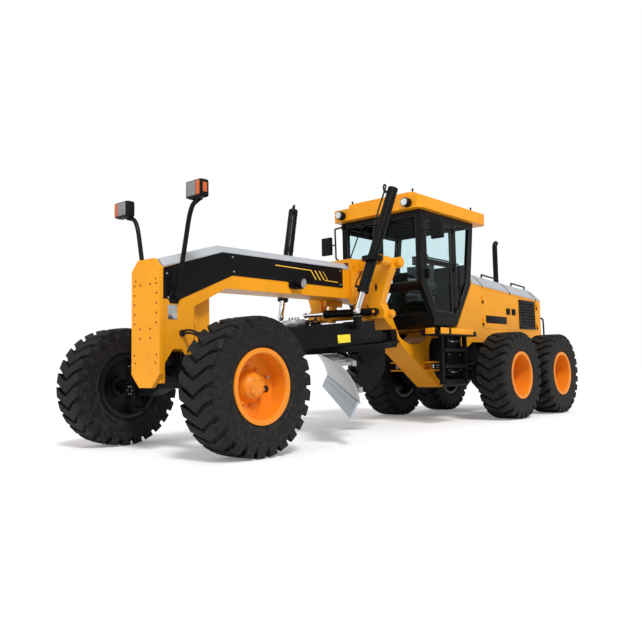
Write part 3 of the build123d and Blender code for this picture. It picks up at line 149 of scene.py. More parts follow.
def coat(name, colour, rubbed, roughness=0.35, metal=0.0, dust=0.5, grain=140, relief=0.0002, edge=0.006,
        patches=1.7, gloss=0.25, shine=0.5):
    """Paint or metal with uneven colour, rubbed edges, fine grain and dust that settles low down."""
    skin = bpy.data.materials.new(name)
    skin.use_nodes = True
    tree = skin.node_tree
    shader = tree.nodes["Principled BSDF"]
    place = join_nodes(tree, "ShaderNodeTexCoord").outputs["Object"]
    broad = join_nodes(tree, "ShaderNodeTexNoise",
        [("Vector", place), ("Scale", patches), ("Detail", 7), ("Roughness", 0.62)]).outputs["Fac"]
    speckle = join_nodes(tree, "ShaderNodeTexNoise",
        [("Vector", place), ("Scale", 23), ("Detail", 5), ("Roughness", 0.7)]).outputs["Fac"]
    fine = join_nodes(tree, "ShaderNodeTexNoise",
        [("Vector", place), ("Scale", grain), ("Detail", 2)]).outputs["Fac"]
    tone = scale_value(tree, broad, 0.3, 0.7, 0.9, 1.07)
    tone_colour = join_nodes(tree, "ShaderNodeCombineColor", [(0, tone), (1, tone), (2, tone)]).outputs[0]
    base = blend_colours(tree, 1.0, (*colour, 1), tone_colour, "MULTIPLY")
    rounded = join_nodes(tree, "ShaderNodeBevel", [("Radius", edge)], samples=4).outputs[0]
    flat = join_nodes(tree, "ShaderNodeNewGeometry").outputs["Normal"]
    turn = join_nodes(tree, "ShaderNodeVectorMath", [(0, rounded), (1, flat)],
        operation="DOT_PRODUCT").outputs["Value"]
    at_edge = times(tree, scale_value(tree, turn, 0.97, 0.8, 0.0, 0.75),
        scale_value(tree, speckle, 0.42, 0.6, 0.1, 1.0))
    base = blend_colours(tree, at_edge, base, (*rubbed, 1))
    if dust:
        height = join_nodes(tree, "ShaderNodeSeparateXYZ", [(0, place)]).outputs["Z"]
        low_down = scale_value(tree, height, 1.9, 0.1, 0.12, 1.0)
        settled = times(tree, times(tree, low_down, scale_value(tree, speckle, 0.4, 0.72, 0.0, 1.0)), dust)
        base = blend_colours(tree, settled, base, (0.19, 0.16, 0.12, 1))
    tree.links.new(base, shader.inputs["Base Color"])
    tree.links.new(scale_value(tree, speckle, 0.35, 0.7, roughness * 0.85, roughness * 1.35),
        shader.inputs["Roughness"])
    shader.inputs["Metallic"].default_value = metal
    shader.inputs["Coat Weight"].default_value = gloss
    shader.inputs["Coat Roughness"].default_value = 0.12
    shader.inputs["Specular IOR Level"].default_value = shine
    bump = join_nodes(tree, "ShaderNodeBump", [("Strength", 0.6), ("Distance", relief), ("Height", fine),
        ("Normal", rounded)])
    tree.links.new(bump.outputs[0], shader.inputs["Normal"])
    return skin


def dress(nodes, skin):
    """Gives CAD nodes one finish in place of their own."""
    for node in nodes:
        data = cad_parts[node].data
        data.materials.clear()
        data.materials.append(skin)


yellow = coat("frame_yellow", (0.86, 0.335, 0.003), (0.98, 0.55, 0.08), dust=0.22, gloss=0.06, shine=0.22)
black = coat("chassis_black", (0.003, 0.003, 0.0037), (0.05, 0.05, 0.055), roughness=0.38, dust=0.05,
    gloss=0.04, shine=0.12)
grey = coat("top_grey", (0.40, 0.42, 0.45), (0.6, 0.62, 0.64), roughness=0.4, dust=0.1)
bare = coat("bright_steel", (0.60, 0.61, 0.63), (0.8, 0.8, 0.8), roughness=0.3, metal=1.0, dust=0.15,
    gloss=0.0)
dress(["front_frame", "push_plate", "saddle"], yellow)
dress(["rear_frame"], black)


def slab(shape, outline, lie, thickness, bevel=0.0, segments=2):
    """A flat plate: an outline drawn on the matrix's own X and Y, thickened along its Z."""
    corners = [shape.verts.new(lie @ Vector((x, y, 0))) for x, y in outline]
    face = shape.faces.new(corners)
    made = bmesh.ops.extrude_face_region(shape, geom=[face])["geom"]
    moved = [v for v in made if isinstance(v, bmesh.types.BMVert)]
    bmesh.ops.translate(shape, verts=moved, vec=lie.to_3x3() @ Vector((0, 0, thickness)))
    faces = {f for v in corners + moved for f in v.link_faces}
    bmesh.ops.recalc_face_normals(shape, faces=list(faces))
    if bevel:
        edges = list({e for f in faces for e in f.edges})
        bmesh.ops.bevel(shape, geom=edges, offset=bevel, segments=segments, profile=0.5, affect="EDGES",
            material=-1)


def brick(shape, low, high, bevel=0.004, segments=2, lie=None):
    """A box between two corners, with rounded edges."""
    middle, size = (Vector(low) + Vector(high)) / 2, Vector(high) - Vector(low)
    place = Matrix.Translation(middle) @ Matrix.Diagonal((*[abs(s) for s in size], 1))
    made = bmesh.ops.create_cube(shape, size=1, matrix=(lie or Matrix()) @ place)["verts"]
    if bevel:
        edges = list({e for v in made for e in v.link_edges})
        bmesh.ops.bevel(shape, geom=edges, offset=bevel, segments=segments, profile=0.5, affect="EDGES",
            material=-1)


def stub(shape, start, end, radius, steps=16, bevel=0.0, end_radius=None):
    """A round bar or cone between two points."""
    start, end = Vector(start), Vector(end)
    turn = (end - start).to_track_quat("Z", "Y").to_matrix().to_4x4()
    made = bmesh.ops.create_cone(
        shape, cap_ends=True, segments=steps, radius1=radius,
        radius2=radius if end_radius is None else end_radius,
        depth=(end - start).length, matrix=Matrix.Translation((start + end) / 2) @ turn,
    )["verts"]
    if bevel:
        rims = list({
            e for v in made for e in v.link_edges
            if len(e.link_faces) == 2 and any(len(f.verts) > 4 for f in e.link_faces)})
        bmesh.ops.bevel(shape, geom=rims, offset=bevel, segments=2, profile=0.5, affect="EDGES", material=-1)


def bolt(shape, place, outward, size=0.012):
    """A hexagon head on its washer."""
    place, outward = Vector(place), Vector(outward).normalized()
    stub(shape, place, place + outward * size * 0.25, size * 1.25, 16)
    stub(shape, place + outward * size * 0.25, place + outward * size, size, 6, bevel=size * 0.12)


def finish_piece(name, shape, skin, body, smooth_under=38):
    data = bpy.data.meshes.new(name)
    shape.to_mesh(data)
    shape.free()
    data.materials.append(skin)
    for face in data.polygons:
        face.use_smooth = True
    data.set_sharp_from_angle(angle=radians(smooth_under))
    made = bpy.data.objects.new(name, data)
    scene.collection.objects.link(made)
    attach(made, body)
    return made


def pipe(name, points, radius, skin, body, order=3, steps=6):
    """A bent tube or hose through a smooth line near its points."""
    line = bpy.data.curves.new(name, "CURVE")
    line.dimensions = "3D"
    line.bevel_depth = radius
    line.bevel_resolution = 3
    line.resolution_u = steps
    line.use_fill_caps = True
    spline = line.splines.new("NURBS")
    spline.points.add(len(points) - 1)
    for point, place in zip(spline.points, points):
        point.co = (*place, 1)
    spline.order_u = order
    spline.use_endpoint_u = True
    carrier = bpy.data.objects.new(name + "_line", line)
    data = bpy.data.meshes.new_from_object(carrier)
    data.name = name
    bpy.data.objects.remove(carrier)
    data.materials.clear()
    data.materials.append(skin)
    for face in data.polygons:
        face.use_smooth = True
    made = bpy.data.objects.new(name, data)
    scene.collection.objects.link(made)
    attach(made, body)
    return made


SIDES = (("left", 1), ("right", -1))
AXLE_X = (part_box("tyre_front_left")[0][0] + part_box("tyre_front_left")[1][0]) / 2  # front axle


def from_axle(x, y, z):
    """A point given from the front axle."""
    return Vector((AXLE_X + x, y, z))


# an outline's X and Y become X and Z; it thickens along +Y
UPRIGHT = Matrix(((1, 0, 0), (0, 0, 1), (0, 1, 0))).to_4x4()


# ---------------------------------------------------------------- push plate
# A 45 mm plate that takes a front attachment or pushes trucks. It is tapped along both edges and in two
# middle rows for the attachment's bolts, and grub screws keep dirt out of the unused threads.
push_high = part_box("push_plate")[1]
plate_face = push_high[0]


def plug(shape, y, z):
    """A grub screw that closes a threaded hole, in its countersink."""
    stub(shape, (plate_face, y, z), (plate_face + 0.0012, y, z), 0.0105, 20)
    stub(shape, (plate_face, y, z), (plate_face + 0.0035, y, z), 0.0070, 6, bevel=0.001)


shape = bmesh.new()
for sign in (1, -1):
    for row in range(5):
        plug(shape, sign * 0.187, 1.302 + row * 0.098)
    plug(shape, sign * 0.187, 0.985)
    for z in (1.694, 1.245, 1.150):
        plug(shape, sign * 0.085, z)
finish_piece("push_plate_plugs", shape, black, "front_frame")

# ---------------------------------------------------------------- beam side plates
# Black pressed covers run along both sides of the beam, from the push plate to the saddle, screwed at their
# corners. A thin yellow line with three slanted slashes is painted on their rear part.
BEAM_HALF = 0.2
BAND = [  # from the front axle, and height
    (0.33, 1.852), (-0.454, 2.099), (-2.52, 2.121), (-2.52, 1.862), (-0.60, 1.856), (0.12, 1.545),
    (0.14, 1.50), (0.24, 1.50), (0.26, 1.545), (0.33, 1.545),
]
BAND_T = 0.006
LINE = (2.045, 0.012)  # upper line's height and width
SLASHES = (-1.95, -2.03, -2.11)
line_yellow = coat("line_yellow", (0.95, 0.55, 0.03), (0.9, 0.6, 0.2), dust=0.05)
for side, sign in SIDES:
    lie = Matrix.Translation((AXLE_X, sign * BEAM_HALF, 0)) @ UPRIGHT
    shape = bmesh.new()
    slab(shape, BAND, lie, sign * BAND_T, bevel=0.002)
    finish_piece("beam_cover_plate_" + side, shape, black, "front_frame", 20)
    lie = Matrix.Translation((AXLE_X, sign * (BEAM_HALF + BAND_T), 0)) @ UPRIGHT
    shape = bmesh.new()
    top, width = LINE
    slab(shape, [(-1.27, top), (-1.27, top - width), (-1.88, top - width - 0.004), (-1.88, top - 0.004)],
        lie, sign * 0.0012)
    for x in (*SLASHES, -2.19):
        thick = 0.022 if x != -2.19 else 0.012
        slab(shape, [(x + 0.07, top - 0.004), (x + 0.07 - thick, top - 0.004),
            (x - 0.03 - thick, top - 0.12), (x - 0.03, top - 0.12)], lie, sign * 0.0012)
    slab(shape, [(-2.14, top - 0.108), (-2.14, top - 0.12), (-2.42, top - 0.124), (-2.42, top - 0.112)], lie,
        sign * 0.0012)
    finish_piece("beam_lines_" + side, shape, line_yellow, "front_frame")
    shape = bmesh.new()
    for x, z in ((-0.60, 2.06), (-0.62, 1.90), (0.26, 1.56), (0.28, 1.80), (-2.47, 2.08), (-2.47, 1.90)):
        bolt(shape, (AXLE_X + x, sign * (BEAM_HALF + BAND_T), z), (0, sign, 0), 0.009)
    finish_piece("beam_cover_bolts_" + side, shape, bare, "front_frame")
    # bare nameplate on the bolster, held by two rivets
    shape = bmesh.new()
    brick(shape, (AXLE_X + 0.150, sign * 0.2, 1.338), (AXLE_X + 0.266, sign * 0.203, 1.486), 0.001)
    finish_piece("bare_plate_" + side, shape, bare, "front_frame")

# ---------------------------------------------------------------- beam top
# A folded grey sheet closes the hose duct on top of the beam, with sloping shoulders down to the side plates.
COVER_RISE = 0.079
COVER_IN = 0.074
COVER_LINE = [(0.326, 1.874), (-0.453, 2.105), (-2.702, 2.128)]
shape = bmesh.new()
rings = []
for x, z in COVER_LINE:
    rings.append([shape.verts.new(from_axle(x, y, z + up)) for y, up in (
        (0.204, -0.012), (0.204, 0.004), (0.2 - COVER_IN, COVER_RISE), (COVER_IN - 0.2, COVER_RISE),
        (-0.204, 0.004), (-0.204, -0.012))])
for front, rear in zip(rings, rings[1:]):
    for k in range(5):
        shape.faces.new((front[k], front[k + 1], rear[k + 1], rear[k]))
for ring in (rings[0], rings[-1]):
    shape.faces.new(ring)
bmesh.ops.recalc_face_normals(shape, faces=shape.faces)
finish_piece("beam_top_cover", shape, grey, "front_frame", 20)

# ---------------------------------------------------------------- front axle, yokes and knuckles
# The axle is a welded box hung from the bolster on one long pin. Cast yokes lean on it and carry the
# forged knuckles. Grease nipples feed every pin.
dress(["front_axle", "lean_yoke_left", "lean_yoke_right", "knuckle_left", "knuckle_right"], black)
hose_black = coat("hose_rubber", (0.006, 0.006, 0.007), (0.04, 0.04, 0.04), roughness=0.6, dust=0.12,
    grain=400, gloss=0.0, shine=0.3)
for side, sign in SIDES:
    shape = bmesh.new()
    for x in (-0.15, 0.15):
        for turn in range(6):
            around = radians(60 * turn)
            place = from_axle(x * 0.955, sign * 0.64 + 0.045 * cos(around), 0.62 + 0.045 * sin(around))
            bolt(shape, place, (x, 0, 0), 0.008)
    finish_piece("axle_pin_bolts_" + side, shape, bare, "front_frame")
    shape = bmesh.new()
    for x, y in ((0.04, 0.775), (0.04, 0.825), (-0.04, 0.775), (-0.04, 0.825)):
        bolt(shape, from_axle(x, sign * y, 0.88), (0, 0, 1), 0.009)
    finish_piece("yoke_bolts_" + side, shape, bare, "lean_" + side)
for side, sign in SIDES:
    pipe("axle_hose_" + side, [from_axle(*p) for p in (
        (0.02, sign * 0.21, 1.02), (0.05, sign * 0.30, 1.06), (0.06, sign * 0.40, 1.0),
        (0.05, sign * 0.47, 0.86), (0.04, sign * 0.49, 0.76))],
        0.011, hose_black, "front_frame")
    for number, drop in enumerate((0.0, 0.028)):
        pipe("lean_hose_%s_%d" % (side, number + 1), [from_axle(*p) for p in (
            (0.09, sign * 0.19, 1.215 - drop), (0.09, sign * 0.26, 1.232 - drop),
            (0.07, sign * 0.36, 1.222 - drop),
            (0.03, sign * 0.45, 1.165 - drop), (-0.03, sign * 0.50, 1.06), (-0.08, sign * 0.49, 0.90 - drop),
            (-0.10, sign * 0.46, 0.78))],
            0.012, hose_black, "front_frame")
    shape = bmesh.new()
    stub(shape, from_axle(0.09, sign * 0.2, 1.201), from_axle(0.09, sign * 0.214, 1.203), 0.036, 28,
        bevel=0.004)
    finish_piece("hose_grommet_" + side, shape, hose_black, "front_frame")
shape = bmesh.new()
brick(shape, from_axle(-0.145, -0.19, 0.84), from_axle(0.10, 0.19, 1.01), 0.008)
finish_piece("axle_pivot_block", shape, black, "front_frame")

# ---------------------------------------------------------------- tyres
# Wide nylon-ply grader tyres with deep chevron bars that lead with their tips and run down over the
# shoulders. They are moulded in one piece with rings on the sidewall, and the tread has gone dull with dust.
TYRE_R, TYRE_BARS = 0.66, 26
CASING = [  # radius and distance from the middle, from the bead over the sidewall to the crown
    (0.3222, 0.0), (0.3222, 0.1868), (0.3600, 0.1868), (0.3640, 0.1950), (0.3720, 0.2060), (0.3860, 0.2120),
    (0.3980, 0.2135),
    (0.4020, 0.2175), (0.4090, 0.2175), (0.4130, 0.2150), (0.4500, 0.2190), (0.5000, 0.2205),
    (0.5320, 0.2195), (0.5360, 0.2225),
    (0.5430, 0.2225), (0.5470, 0.2185), (0.5800, 0.2120), (0.6030, 0.1960), (0.6160, 0.1600),
    (0.6220, 0.0900), (0.6240, 0.0),
]
BAR = [  # distance from the middle, lag behind the tip in degrees, half width, foot and top radius
    (0.000, 0.0, 0.056, 0.612, 0.6600), (0.060, 3.2, 0.056, 0.612, 0.6600),
    (0.135, 7.4, 0.056, 0.604, 0.6590),
    (0.192, 9.6, 0.055, 0.585, 0.6560), (0.2180, 10.2, 0.050, 0.545, 0.6420),
    (0.2240, 10.4, 0.044, 0.535, 0.6000),
]
rubber = coat("tyre_rubber", (0.0055, 0.0055, 0.0065), (0.13, 0.12, 0.105), roughness=0.66, dust=0.16,
    grain=120, relief=0.0006, edge=0.006, gloss=0.0, shine=0.2)


def sweep(shape, sections):
    """A solid grown from its first section through all the others."""
    face = shape.faces.new([shape.verts.new(place) for place in sections[0]])
    for section in sections[1:]:
        grown = bmesh.ops.extrude_face_region(shape, geom=[face])["geom"]
        face = next(item for item in grown if isinstance(item, bmesh.types.BMFace))
        for corner, place in zip(face.verts, section):
            corner.co = place


def bar_section(across, lag, half, foot, top, turn):
    """A bar's section where it crosses one distance from the tyre's middle; its sides slope."""
    ring = []
    for radius, width in ((foot, -half * 1.12), (top, -half), (top, half), (foot, half * 1.12)):
        around = turn - radians(lag) + width / TYRE_R
        ring.append(Vector((radius * sin(around), across, radius * cos(around))))
    return ring


shape = bmesh.new()
half_line = [Vector((0, y, r)) for r, y in CASING]
line = [shape.verts.new(p) for p in half_line] + [shape.verts.new((0, -p.y,
    p.z)) for p in reversed(half_line[1:-1])]
ring = [shape.edges.new((a, b)) for a, b in zip(line, line[1:] + line[:1])]
bmesh.ops.spin(shape, geom=line + ring, cent=(0, 0, 0), axis=(0, 1, 0), angle=2 * pi, steps=80,
    use_merge=True)
bmesh.ops.remove_doubles(shape, verts=shape.verts, dist=0.00005)
bmesh.ops.recalc_face_normals(shape, faces=shape.faces)
tyre_casing = bpy.data.meshes.new("tyre_casing")
shape.to_mesh(tyre_casing)
shape.free()
shape = bmesh.new()
for number in range(TYRE_BARS):
    turn = 2 * pi * number / TYRE_BARS + radians(90)
    run = [(-a, *rest) for a, *rest in reversed(BAR[1:])] + BAR
    sweep(shape, [bar_section(*row, turn) for row in run])
bmesh.ops.recalc_face_normals(shape, faces=shape.faces)
corners = [e for e in shape.edges if len(e.link_faces) == 2 and e.calc_face_angle(0) > 0.7]
bmesh.ops.bevel(shape, geom=corners, offset=0.0045, segments=2, profile=0.5, affect="EDGES", material=-1)
shape.from_mesh(tyre_casing)
tyre_form = bpy.data.meshes.new("tyre_form")
shape.to_mesh(tyre_form)
shape.free()
for node in sorted(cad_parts):
    if node.startswith("tyre_"):
        low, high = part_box(node)
        shape = bmesh.new()
        shape.from_mesh(tyre_form)
        bmesh.ops.translate(shape, verts=shape.verts,
            vec=((low[0] + high[0]) / 2, (low[1] + high[1]) / 2, low[2] + TYRE_R))
        made = finish_piece("moulded_" + node, shape, rubber,
            node[5:].split("_")[0] + "_wheel_" + node[5:].split("_")[1], 32)
        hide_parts(node)

# ---------------------------------------------------------------- rims
# Rolled steel rims with a welded disc, a hub held by ten nuts, a cast cap, a hand hole's black plug and
# the valve. The front discs sit near the middle; the drive discs lie far in, behind a deep dish.
rim_orange = coat("rim_orange", (0.84, 0.245, 0.003), (0.95, 0.48, 0.08), roughness=0.38, dust=0.30,
    gloss=0.1, shine=0.3)


def paint_rim_inner_shade(skin, reach):
    """Paints shade on a rim: near black where it lies closer to the machine's middle than its disc, standing
    in for the shade inside the wheel.
    """
    tree = skin.node_tree
    shader = tree.nodes["Principled BSDF"]
    outer = shader.inputs["Base Color"].links[0].from_socket
    across = join_nodes(tree, "ShaderNodeSeparateXYZ",
        [(0, join_nodes(tree, "ShaderNodeTexCoord").outputs["Object"])]).outputs["Y"]
    inner_shade_mask = times(tree, times(tree, across, 0.0, "ABSOLUTE"), reach, "LESS_THAN")
    # painted shade: the rim's part nearer the machine's middle is mixed to near black
    tree.links.new(blend_colours(tree, inner_shade_mask, outer, (0.006, 0.006, 0.006, 1)), shader.inputs["Base Color"])
    return skin


rim_skins = {}
DISC_FACE = {"front": 0.010, "middle": -0.075, "rear": -0.075}  # outboard of the tyre's middle
HUB_REACH = {"front": 0.105, "middle": 0.060, "rear": 0.060}
for node in sorted(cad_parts):
    if not node.startswith("rim_"):
        continue
    _, place, side = node.split("_")
    sign = 1 if side == "left" else -1
    tyre_low, tyre_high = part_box("tyre_" + place + "_" + side)
    middle = Vector(((tyre_low[0] + tyre_high[0]) / 2, (tyre_low[1] + tyre_high[1]) / 2,
        tyre_low[2] + TYRE_R))
    face = middle + Vector((0, sign * DISC_FACE[place], 0))
    if place not in rim_skins:
        skin = coat("rim_%s_paint" % place, (0.84, 0.245, 0.003), (0.95, 0.48, 0.08), roughness=0.38,
            dust=0.30, gloss=0.1, shine=0.3)
        # each rim's paint gets painted shade, near black, on the machine's side of its disc
        rim_skins[place] = paint_rim_inner_shade(skin, abs(face.y) - 0.012)
    dress([node], rim_skins[place])
    out = Vector((0, sign, 0))
    shape = bmesh.new()
    for number in range(10):
        around = radians(36 * number + 12)
        spot = face + Vector((cos(around), 0, sin(around))) * 0.178
        bolt(shape, spot, out, 0.020)
        stub(shape, spot + out * 0.018, spot + out * 0.034, 0.008, 12, bevel=0.001)
    finish_piece("wheel_nuts_" + place + "_" + side, shape, rim_orange, place + "_wheel_" + side)
    shape = bmesh.new()
    hub = face + out * HUB_REACH[place]
    stub(shape, hub - out * 0.004, hub + out * 0.010, 0.088, 40, bevel=0.003)
    for number in range(6):
        around = radians(60 * number)
        bolt(shape, hub + out * 0.010 + Vector((cos(around), 0, sin(around))) * 0.068, out, 0.008)
    finish_piece("hub_cap_" + place + "_" + side, shape, rim_orange, place + "_wheel_" + side)
    shape = bmesh.new()
    spot = face + Vector((-0.222, 0, -0.03))
    stub(shape, spot, spot + out * 0.006, 0.034, 24, bevel=0.002)
    finish_piece("hand_hole_plug_" + place + "_" + side, shape, hose_black, place + "_wheel_" + side)
    shape = bmesh.new()
    spot = face + Vector((-0.205, 0, 0.085))
    stub(shape, spot, spot + out * 0.05, 0.008, 12, bevel=0.001)
    stub(shape, spot + out * 0.03, spot + out * 0.062, 0.012, 12, bevel=0.002)
    finish_piece("rim_valve_" + place + "_" + side, shape, bare, place + "_wheel_" + side)

# ---------------------------------------------------------------- headlamps
# Two bent tube posts are clamped to the beam behind the push plate. Each carries a moulded lamp box with a
# clear lens, an amber indicator beside it, and a short cable that enters from below.
plastic = coat("moulded_black", (0.0045, 0.0045, 0.005), (0.04, 0.04, 0.04), roughness=0.5, dust=0.04,
    grain=500, gloss=0.0, shine=0.15)


def lamp_glass(name, colour, through=0.75, glow=0.0):
    """Moulded lens with fine upright ribs."""
    skin = bpy.data.materials.new(name)
    skin.use_nodes = True
    tree = skin.node_tree
    shader = tree.nodes["Principled BSDF"]
    place = join_nodes(tree, "ShaderNodeTexCoord").outputs["Object"]
    ribs = join_nodes(tree, "ShaderNodeTexWave", [("Vector", place), ("Scale", 26), ("Distortion", 0.2)],
        bands_direction="Y").outputs["Fac"]
    clouds = join_nodes(tree, "ShaderNodeTexNoise",
        [("Vector", place), ("Scale", 30), ("Detail", 3)]).outputs["Fac"]
    tree.links.new(blend_colours(tree, clouds, (*colour, 1), (*[c * 0.75 for c in colour], 1)),
        shader.inputs["Base Color"])
    bump = join_nodes(tree, "ShaderNodeBump", [("Strength", 0.5), ("Distance", 0.001), ("Height", ribs)])
    tree.links.new(bump.outputs[0], shader.inputs["Normal"])
    shader.inputs["Transmission Weight"].default_value = through
    shader.inputs["Roughness"].default_value = 0.08
    shader.inputs["Coat Weight"].default_value = 0.6
    return skin


lens_clear = lamp_glass("lens_clear", (0.85, 0.88, 0.9))
lens_amber = lamp_glass("lens_amber", (0.95, 0.16, 0.01), 0.35)
chrome = coat("chromed_steel", (0.78, 0.79, 0.81), (0.85, 0.85, 0.86), roughness=0.12, metal=1.0, dust=0.05,
    grain=300, relief=0.00003, gloss=0.0)
POST_LINE = [(0.19, 0.238, 1.59), (0.19, 0.285, 1.72), (0.188, 0.335, 1.90), (0.184, 0.40, 2.18),
    (0.182, 0.44, 2.36), (0.184, 0.50, 2.475), (0.19, 0.57, 2.49), (0.195, 0.615, 2.505)]
posts = []
for side, sign in SIDES:
    posts.append(pipe("lamp_post_" + side, [from_axle(x, sign * y, z) for x, y, z in POST_LINE], 0.024,
        black, "front_frame"))
    shape = bmesh.new()
    brick(shape, from_axle(0.12, sign * 0.2, 1.56), from_axle(0.26, sign * 0.228, 1.62), 0.004)
    stub(shape, from_axle(0.19, sign * 0.215, 1.59), from_axle(0.19, sign * 0.262, 1.59), 0.032, 24,
        bevel=0.003)
    for x in (0.14, 0.24):
        bolt(shape, from_axle(x, sign * 0.228, 1.59), (0, sign, 0), 0.010)
    finish_piece("lamp_clamp_" + side, shape, black, "front_frame")
    shape = bmesh.new()
    brick(shape, from_axle(0.172, sign * 0.505, 2.502), from_axle(0.270, sign * 0.745, 2.678), 0.022, 4)
    brick(shape, from_axle(0.262, sign * 0.512, 2.508), from_axle(0.283, sign * 0.738, 2.672), 0.008, 3)
    stub(shape, from_axle(0.195, sign * 0.615, 2.498), from_axle(0.195, sign * 0.615, 2.515), 0.036, 24,
        bevel=0.003)
    finish_piece("lamp_box_" + side, shape, plastic, "front_frame")
    for name, inner, outer, low, skin in (("lens", 0.525, 0.664, 2.520, lens_clear),
            ("indicator", 0.672, 0.729, 2.520, lens_amber)):
        shape = bmesh.new()
        brick(shape, from_axle(0.279, sign * inner, low), from_axle(0.291, sign * outer, 2.660), 0.005, 3)
        finish_piece("lamp_" + name + "_" + side, shape, skin, "front_frame")
    shape = bmesh.new()
    stub(shape, from_axle(0.277, sign * 0.595, 2.590), from_axle(0.2805, sign * 0.595, 2.590), 0.062, 32)
    finish_piece("lamp_bowl_" + side, shape, chrome, "front_frame")
    # amber repeater on the outer side of the box
    shape = bmesh.new()
    brick(shape, from_axle(0.205, sign * 0.741, 2.545), from_axle(0.255, sign * 0.751, 2.640), 0.004, 3)
    finish_piece("lamp_repeater_" + side, shape, lens_amber, "front_frame")
for made in posts:
    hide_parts("lamp_posts")

# ---------------------------------------------------------------- drawbar, circle and their hoses
# A welded triangle of black box sections carries the toothed circle in four shoes. The circle's gear motor
# and its valve block stand on the drawbar, with hoses that come down from the beam in loose loops.
dress(["drawbar", "drawbar_ball", "circle", "blade_carrier"], black)
BALL = from_axle(-0.3, 0, 1.07)
slope = radians(5)
DRAWBAR = Matrix.Translation(BALL) @ Matrix.Rotation(slope, 4, "Y")  # its X points forward along the drawbar
CIRCLE_BACK, BLADE_TURN = 2.43, radians(45)
CIRCLE = DRAWBAR @ Matrix.Translation((-CIRCLE_BACK, 0, 0)) @ Matrix.Rotation(-BLADE_TURN, 4, "Z")


def on_drawbar(back, left, up):
    return DRAWBAR @ Vector((-back, left, up))


def on_circle(ahead_of_it, left, up):
    return CIRCLE @ Vector((ahead_of_it, left, up))


shape = bmesh.new()
for back, left in ((1.93, 0.0),):
    for number in range(8):
        around = radians(45 * number)
        bolt(shape, on_drawbar(back + 0.082 * cos(around), left + 0.082 * sin(around), 0.060),
            DRAWBAR.to_3x3() @ Vector((0, 0, 1)), 0.006)
for angle in (30, 150, 210, 330):
    around = radians(angle)
    for out in (0.62, 0.70):
        for beside in (-0.03, 0.03):
            spot = on_drawbar(CIRCLE_BACK - out * cos(around) + beside * sin(around),
                out * sin(around) + beside * cos(around), -0.040)
            if abs((DRAWBAR.inverted() @ spot).y) > 0.57:
                bolt(shape, spot, DRAWBAR.to_3x3() @ Vector((0, 0, 1)), 0.012)
finish_piece("drawbar_bolts", shape, bare, "drawbar")
shape = bmesh.new()
brick(shape, (-1.60, -0.11, 0.142), (-1.42, 0.11, 0.225), 0.006, 2, DRAWBAR)
for left in (-0.07, -0.02, 0.03, 0.08):
    stub(shape, on_drawbar(1.51, left, 0.225), on_drawbar(1.51, left, 0.255), 0.014, 6, bevel=0.002)
    stub(shape, on_drawbar(1.60, left, 0.19), on_drawbar(1.635, left, 0.19), 0.014, 6, bevel=0.002)
finish_piece("drawbar_valves", shape, bare, "drawbar")
for number, left in enumerate((-0.07, -0.02, 0.03, 0.08)):
    pipe("drawbar_hose_%d" % (number + 1), [on_drawbar(*p) for p in (
        (1.635, left, 0.19), (1.72, left * 1.1, 0.195), (1.80, left * 1.5, 0.17 + 0.01 * number),
        (1.88, left * 1.6, 0.15),
        (1.93, left * 0.7, 0.172))], 0.010, hose_black, "drawbar")
# blank yellow plate on the left leg
yellow_plate = coat("plate_yellow", (0.93, 0.72, 0.02), (0.9, 0.8, 0.3), dust=0.1)
shape = bmesh.new()
leg_turn = Matrix.Rotation(radians(-15.5), 4, "Z")
lie = DRAWBAR @ Matrix.Translation((-1.83, 0.524, -0.055)) @ leg_turn
brick(shape, (-0.095, -0.002, -0.05), (0.095, 0.003, 0.05), 0.002, 2, lie)
finish_piece("blank_plate_leg", shape, yellow_plate, "drawbar")

# ---------------------------------------------------------------- moldboard and cutting edge
# The moldboard is a rolled plate whose paint has long gone: bright where soil slides, with faint rust and
# scratches along it. The hardened cutting edge under it is a separate bar, held by plough bolts.
BLADE_MIDDLE, BLADE_HALF = 0.155, 1.98


def worn_steel(name, colour, rough, stretch):
    """Bare steel polished by soil, with long scratches and thin rust in its hollows."""
    skin = bpy.data.materials.new(name)
    skin.use_nodes = True
    tree = skin.node_tree
    shader = tree.nodes["Principled BSDF"]
    place = join_nodes(tree, "ShaderNodeTexCoord").outputs["Object"]
    turned = join_nodes(tree, "ShaderNodeMapping",
        [("Vector", place), ("Rotation", (0, 0, radians(-45))), ("Scale", stretch)])
    scratches = join_nodes(tree, "ShaderNodeTexNoise",
        [("Vector", turned.outputs[0]), ("Scale", 60), ("Detail", 8), ("Roughness", 0.75)]).outputs["Fac"]
    clouds = join_nodes(tree, "ShaderNodeTexNoise",
        [("Vector", place), ("Scale", 3.5), ("Detail", 6), ("Roughness", 0.6)]).outputs["Fac"]
    tone = scale_value(tree, scratches, 0.3, 0.7, 0.82, 1.12)
    tones = join_nodes(tree, "ShaderNodeCombineColor", [(0, tone), (1, tone), (2, tone)]).outputs[0]
    base = blend_colours(tree, 1.0, (*colour, 1), tones, "MULTIPLY")
    rust = times(tree, scale_value(tree, clouds, 0.55, 0.78, 0.0, 0.55),
        scale_value(tree, scratches, 0.4, 0.7, 0.2, 1.0))
    base = blend_colours(tree, rust, base, (0.30, 0.25, 0.21, 1))
    tree.links.new(base, shader.inputs["Base Color"])
    tree.links.new(scale_value(tree, scratches, 0.3, 0.7, rough * 0.7, rough * 1.5),
        shader.inputs["Roughness"])
    bump = join_nodes(tree, "ShaderNodeBump", [("Strength", 0.35), ("Distance", 0.0006),
        ("Height", scratches)])
    tree.links.new(bump.outputs[0], shader.inputs["Normal"])
    shader.inputs["Metallic"].default_value = 0.75
    return skin


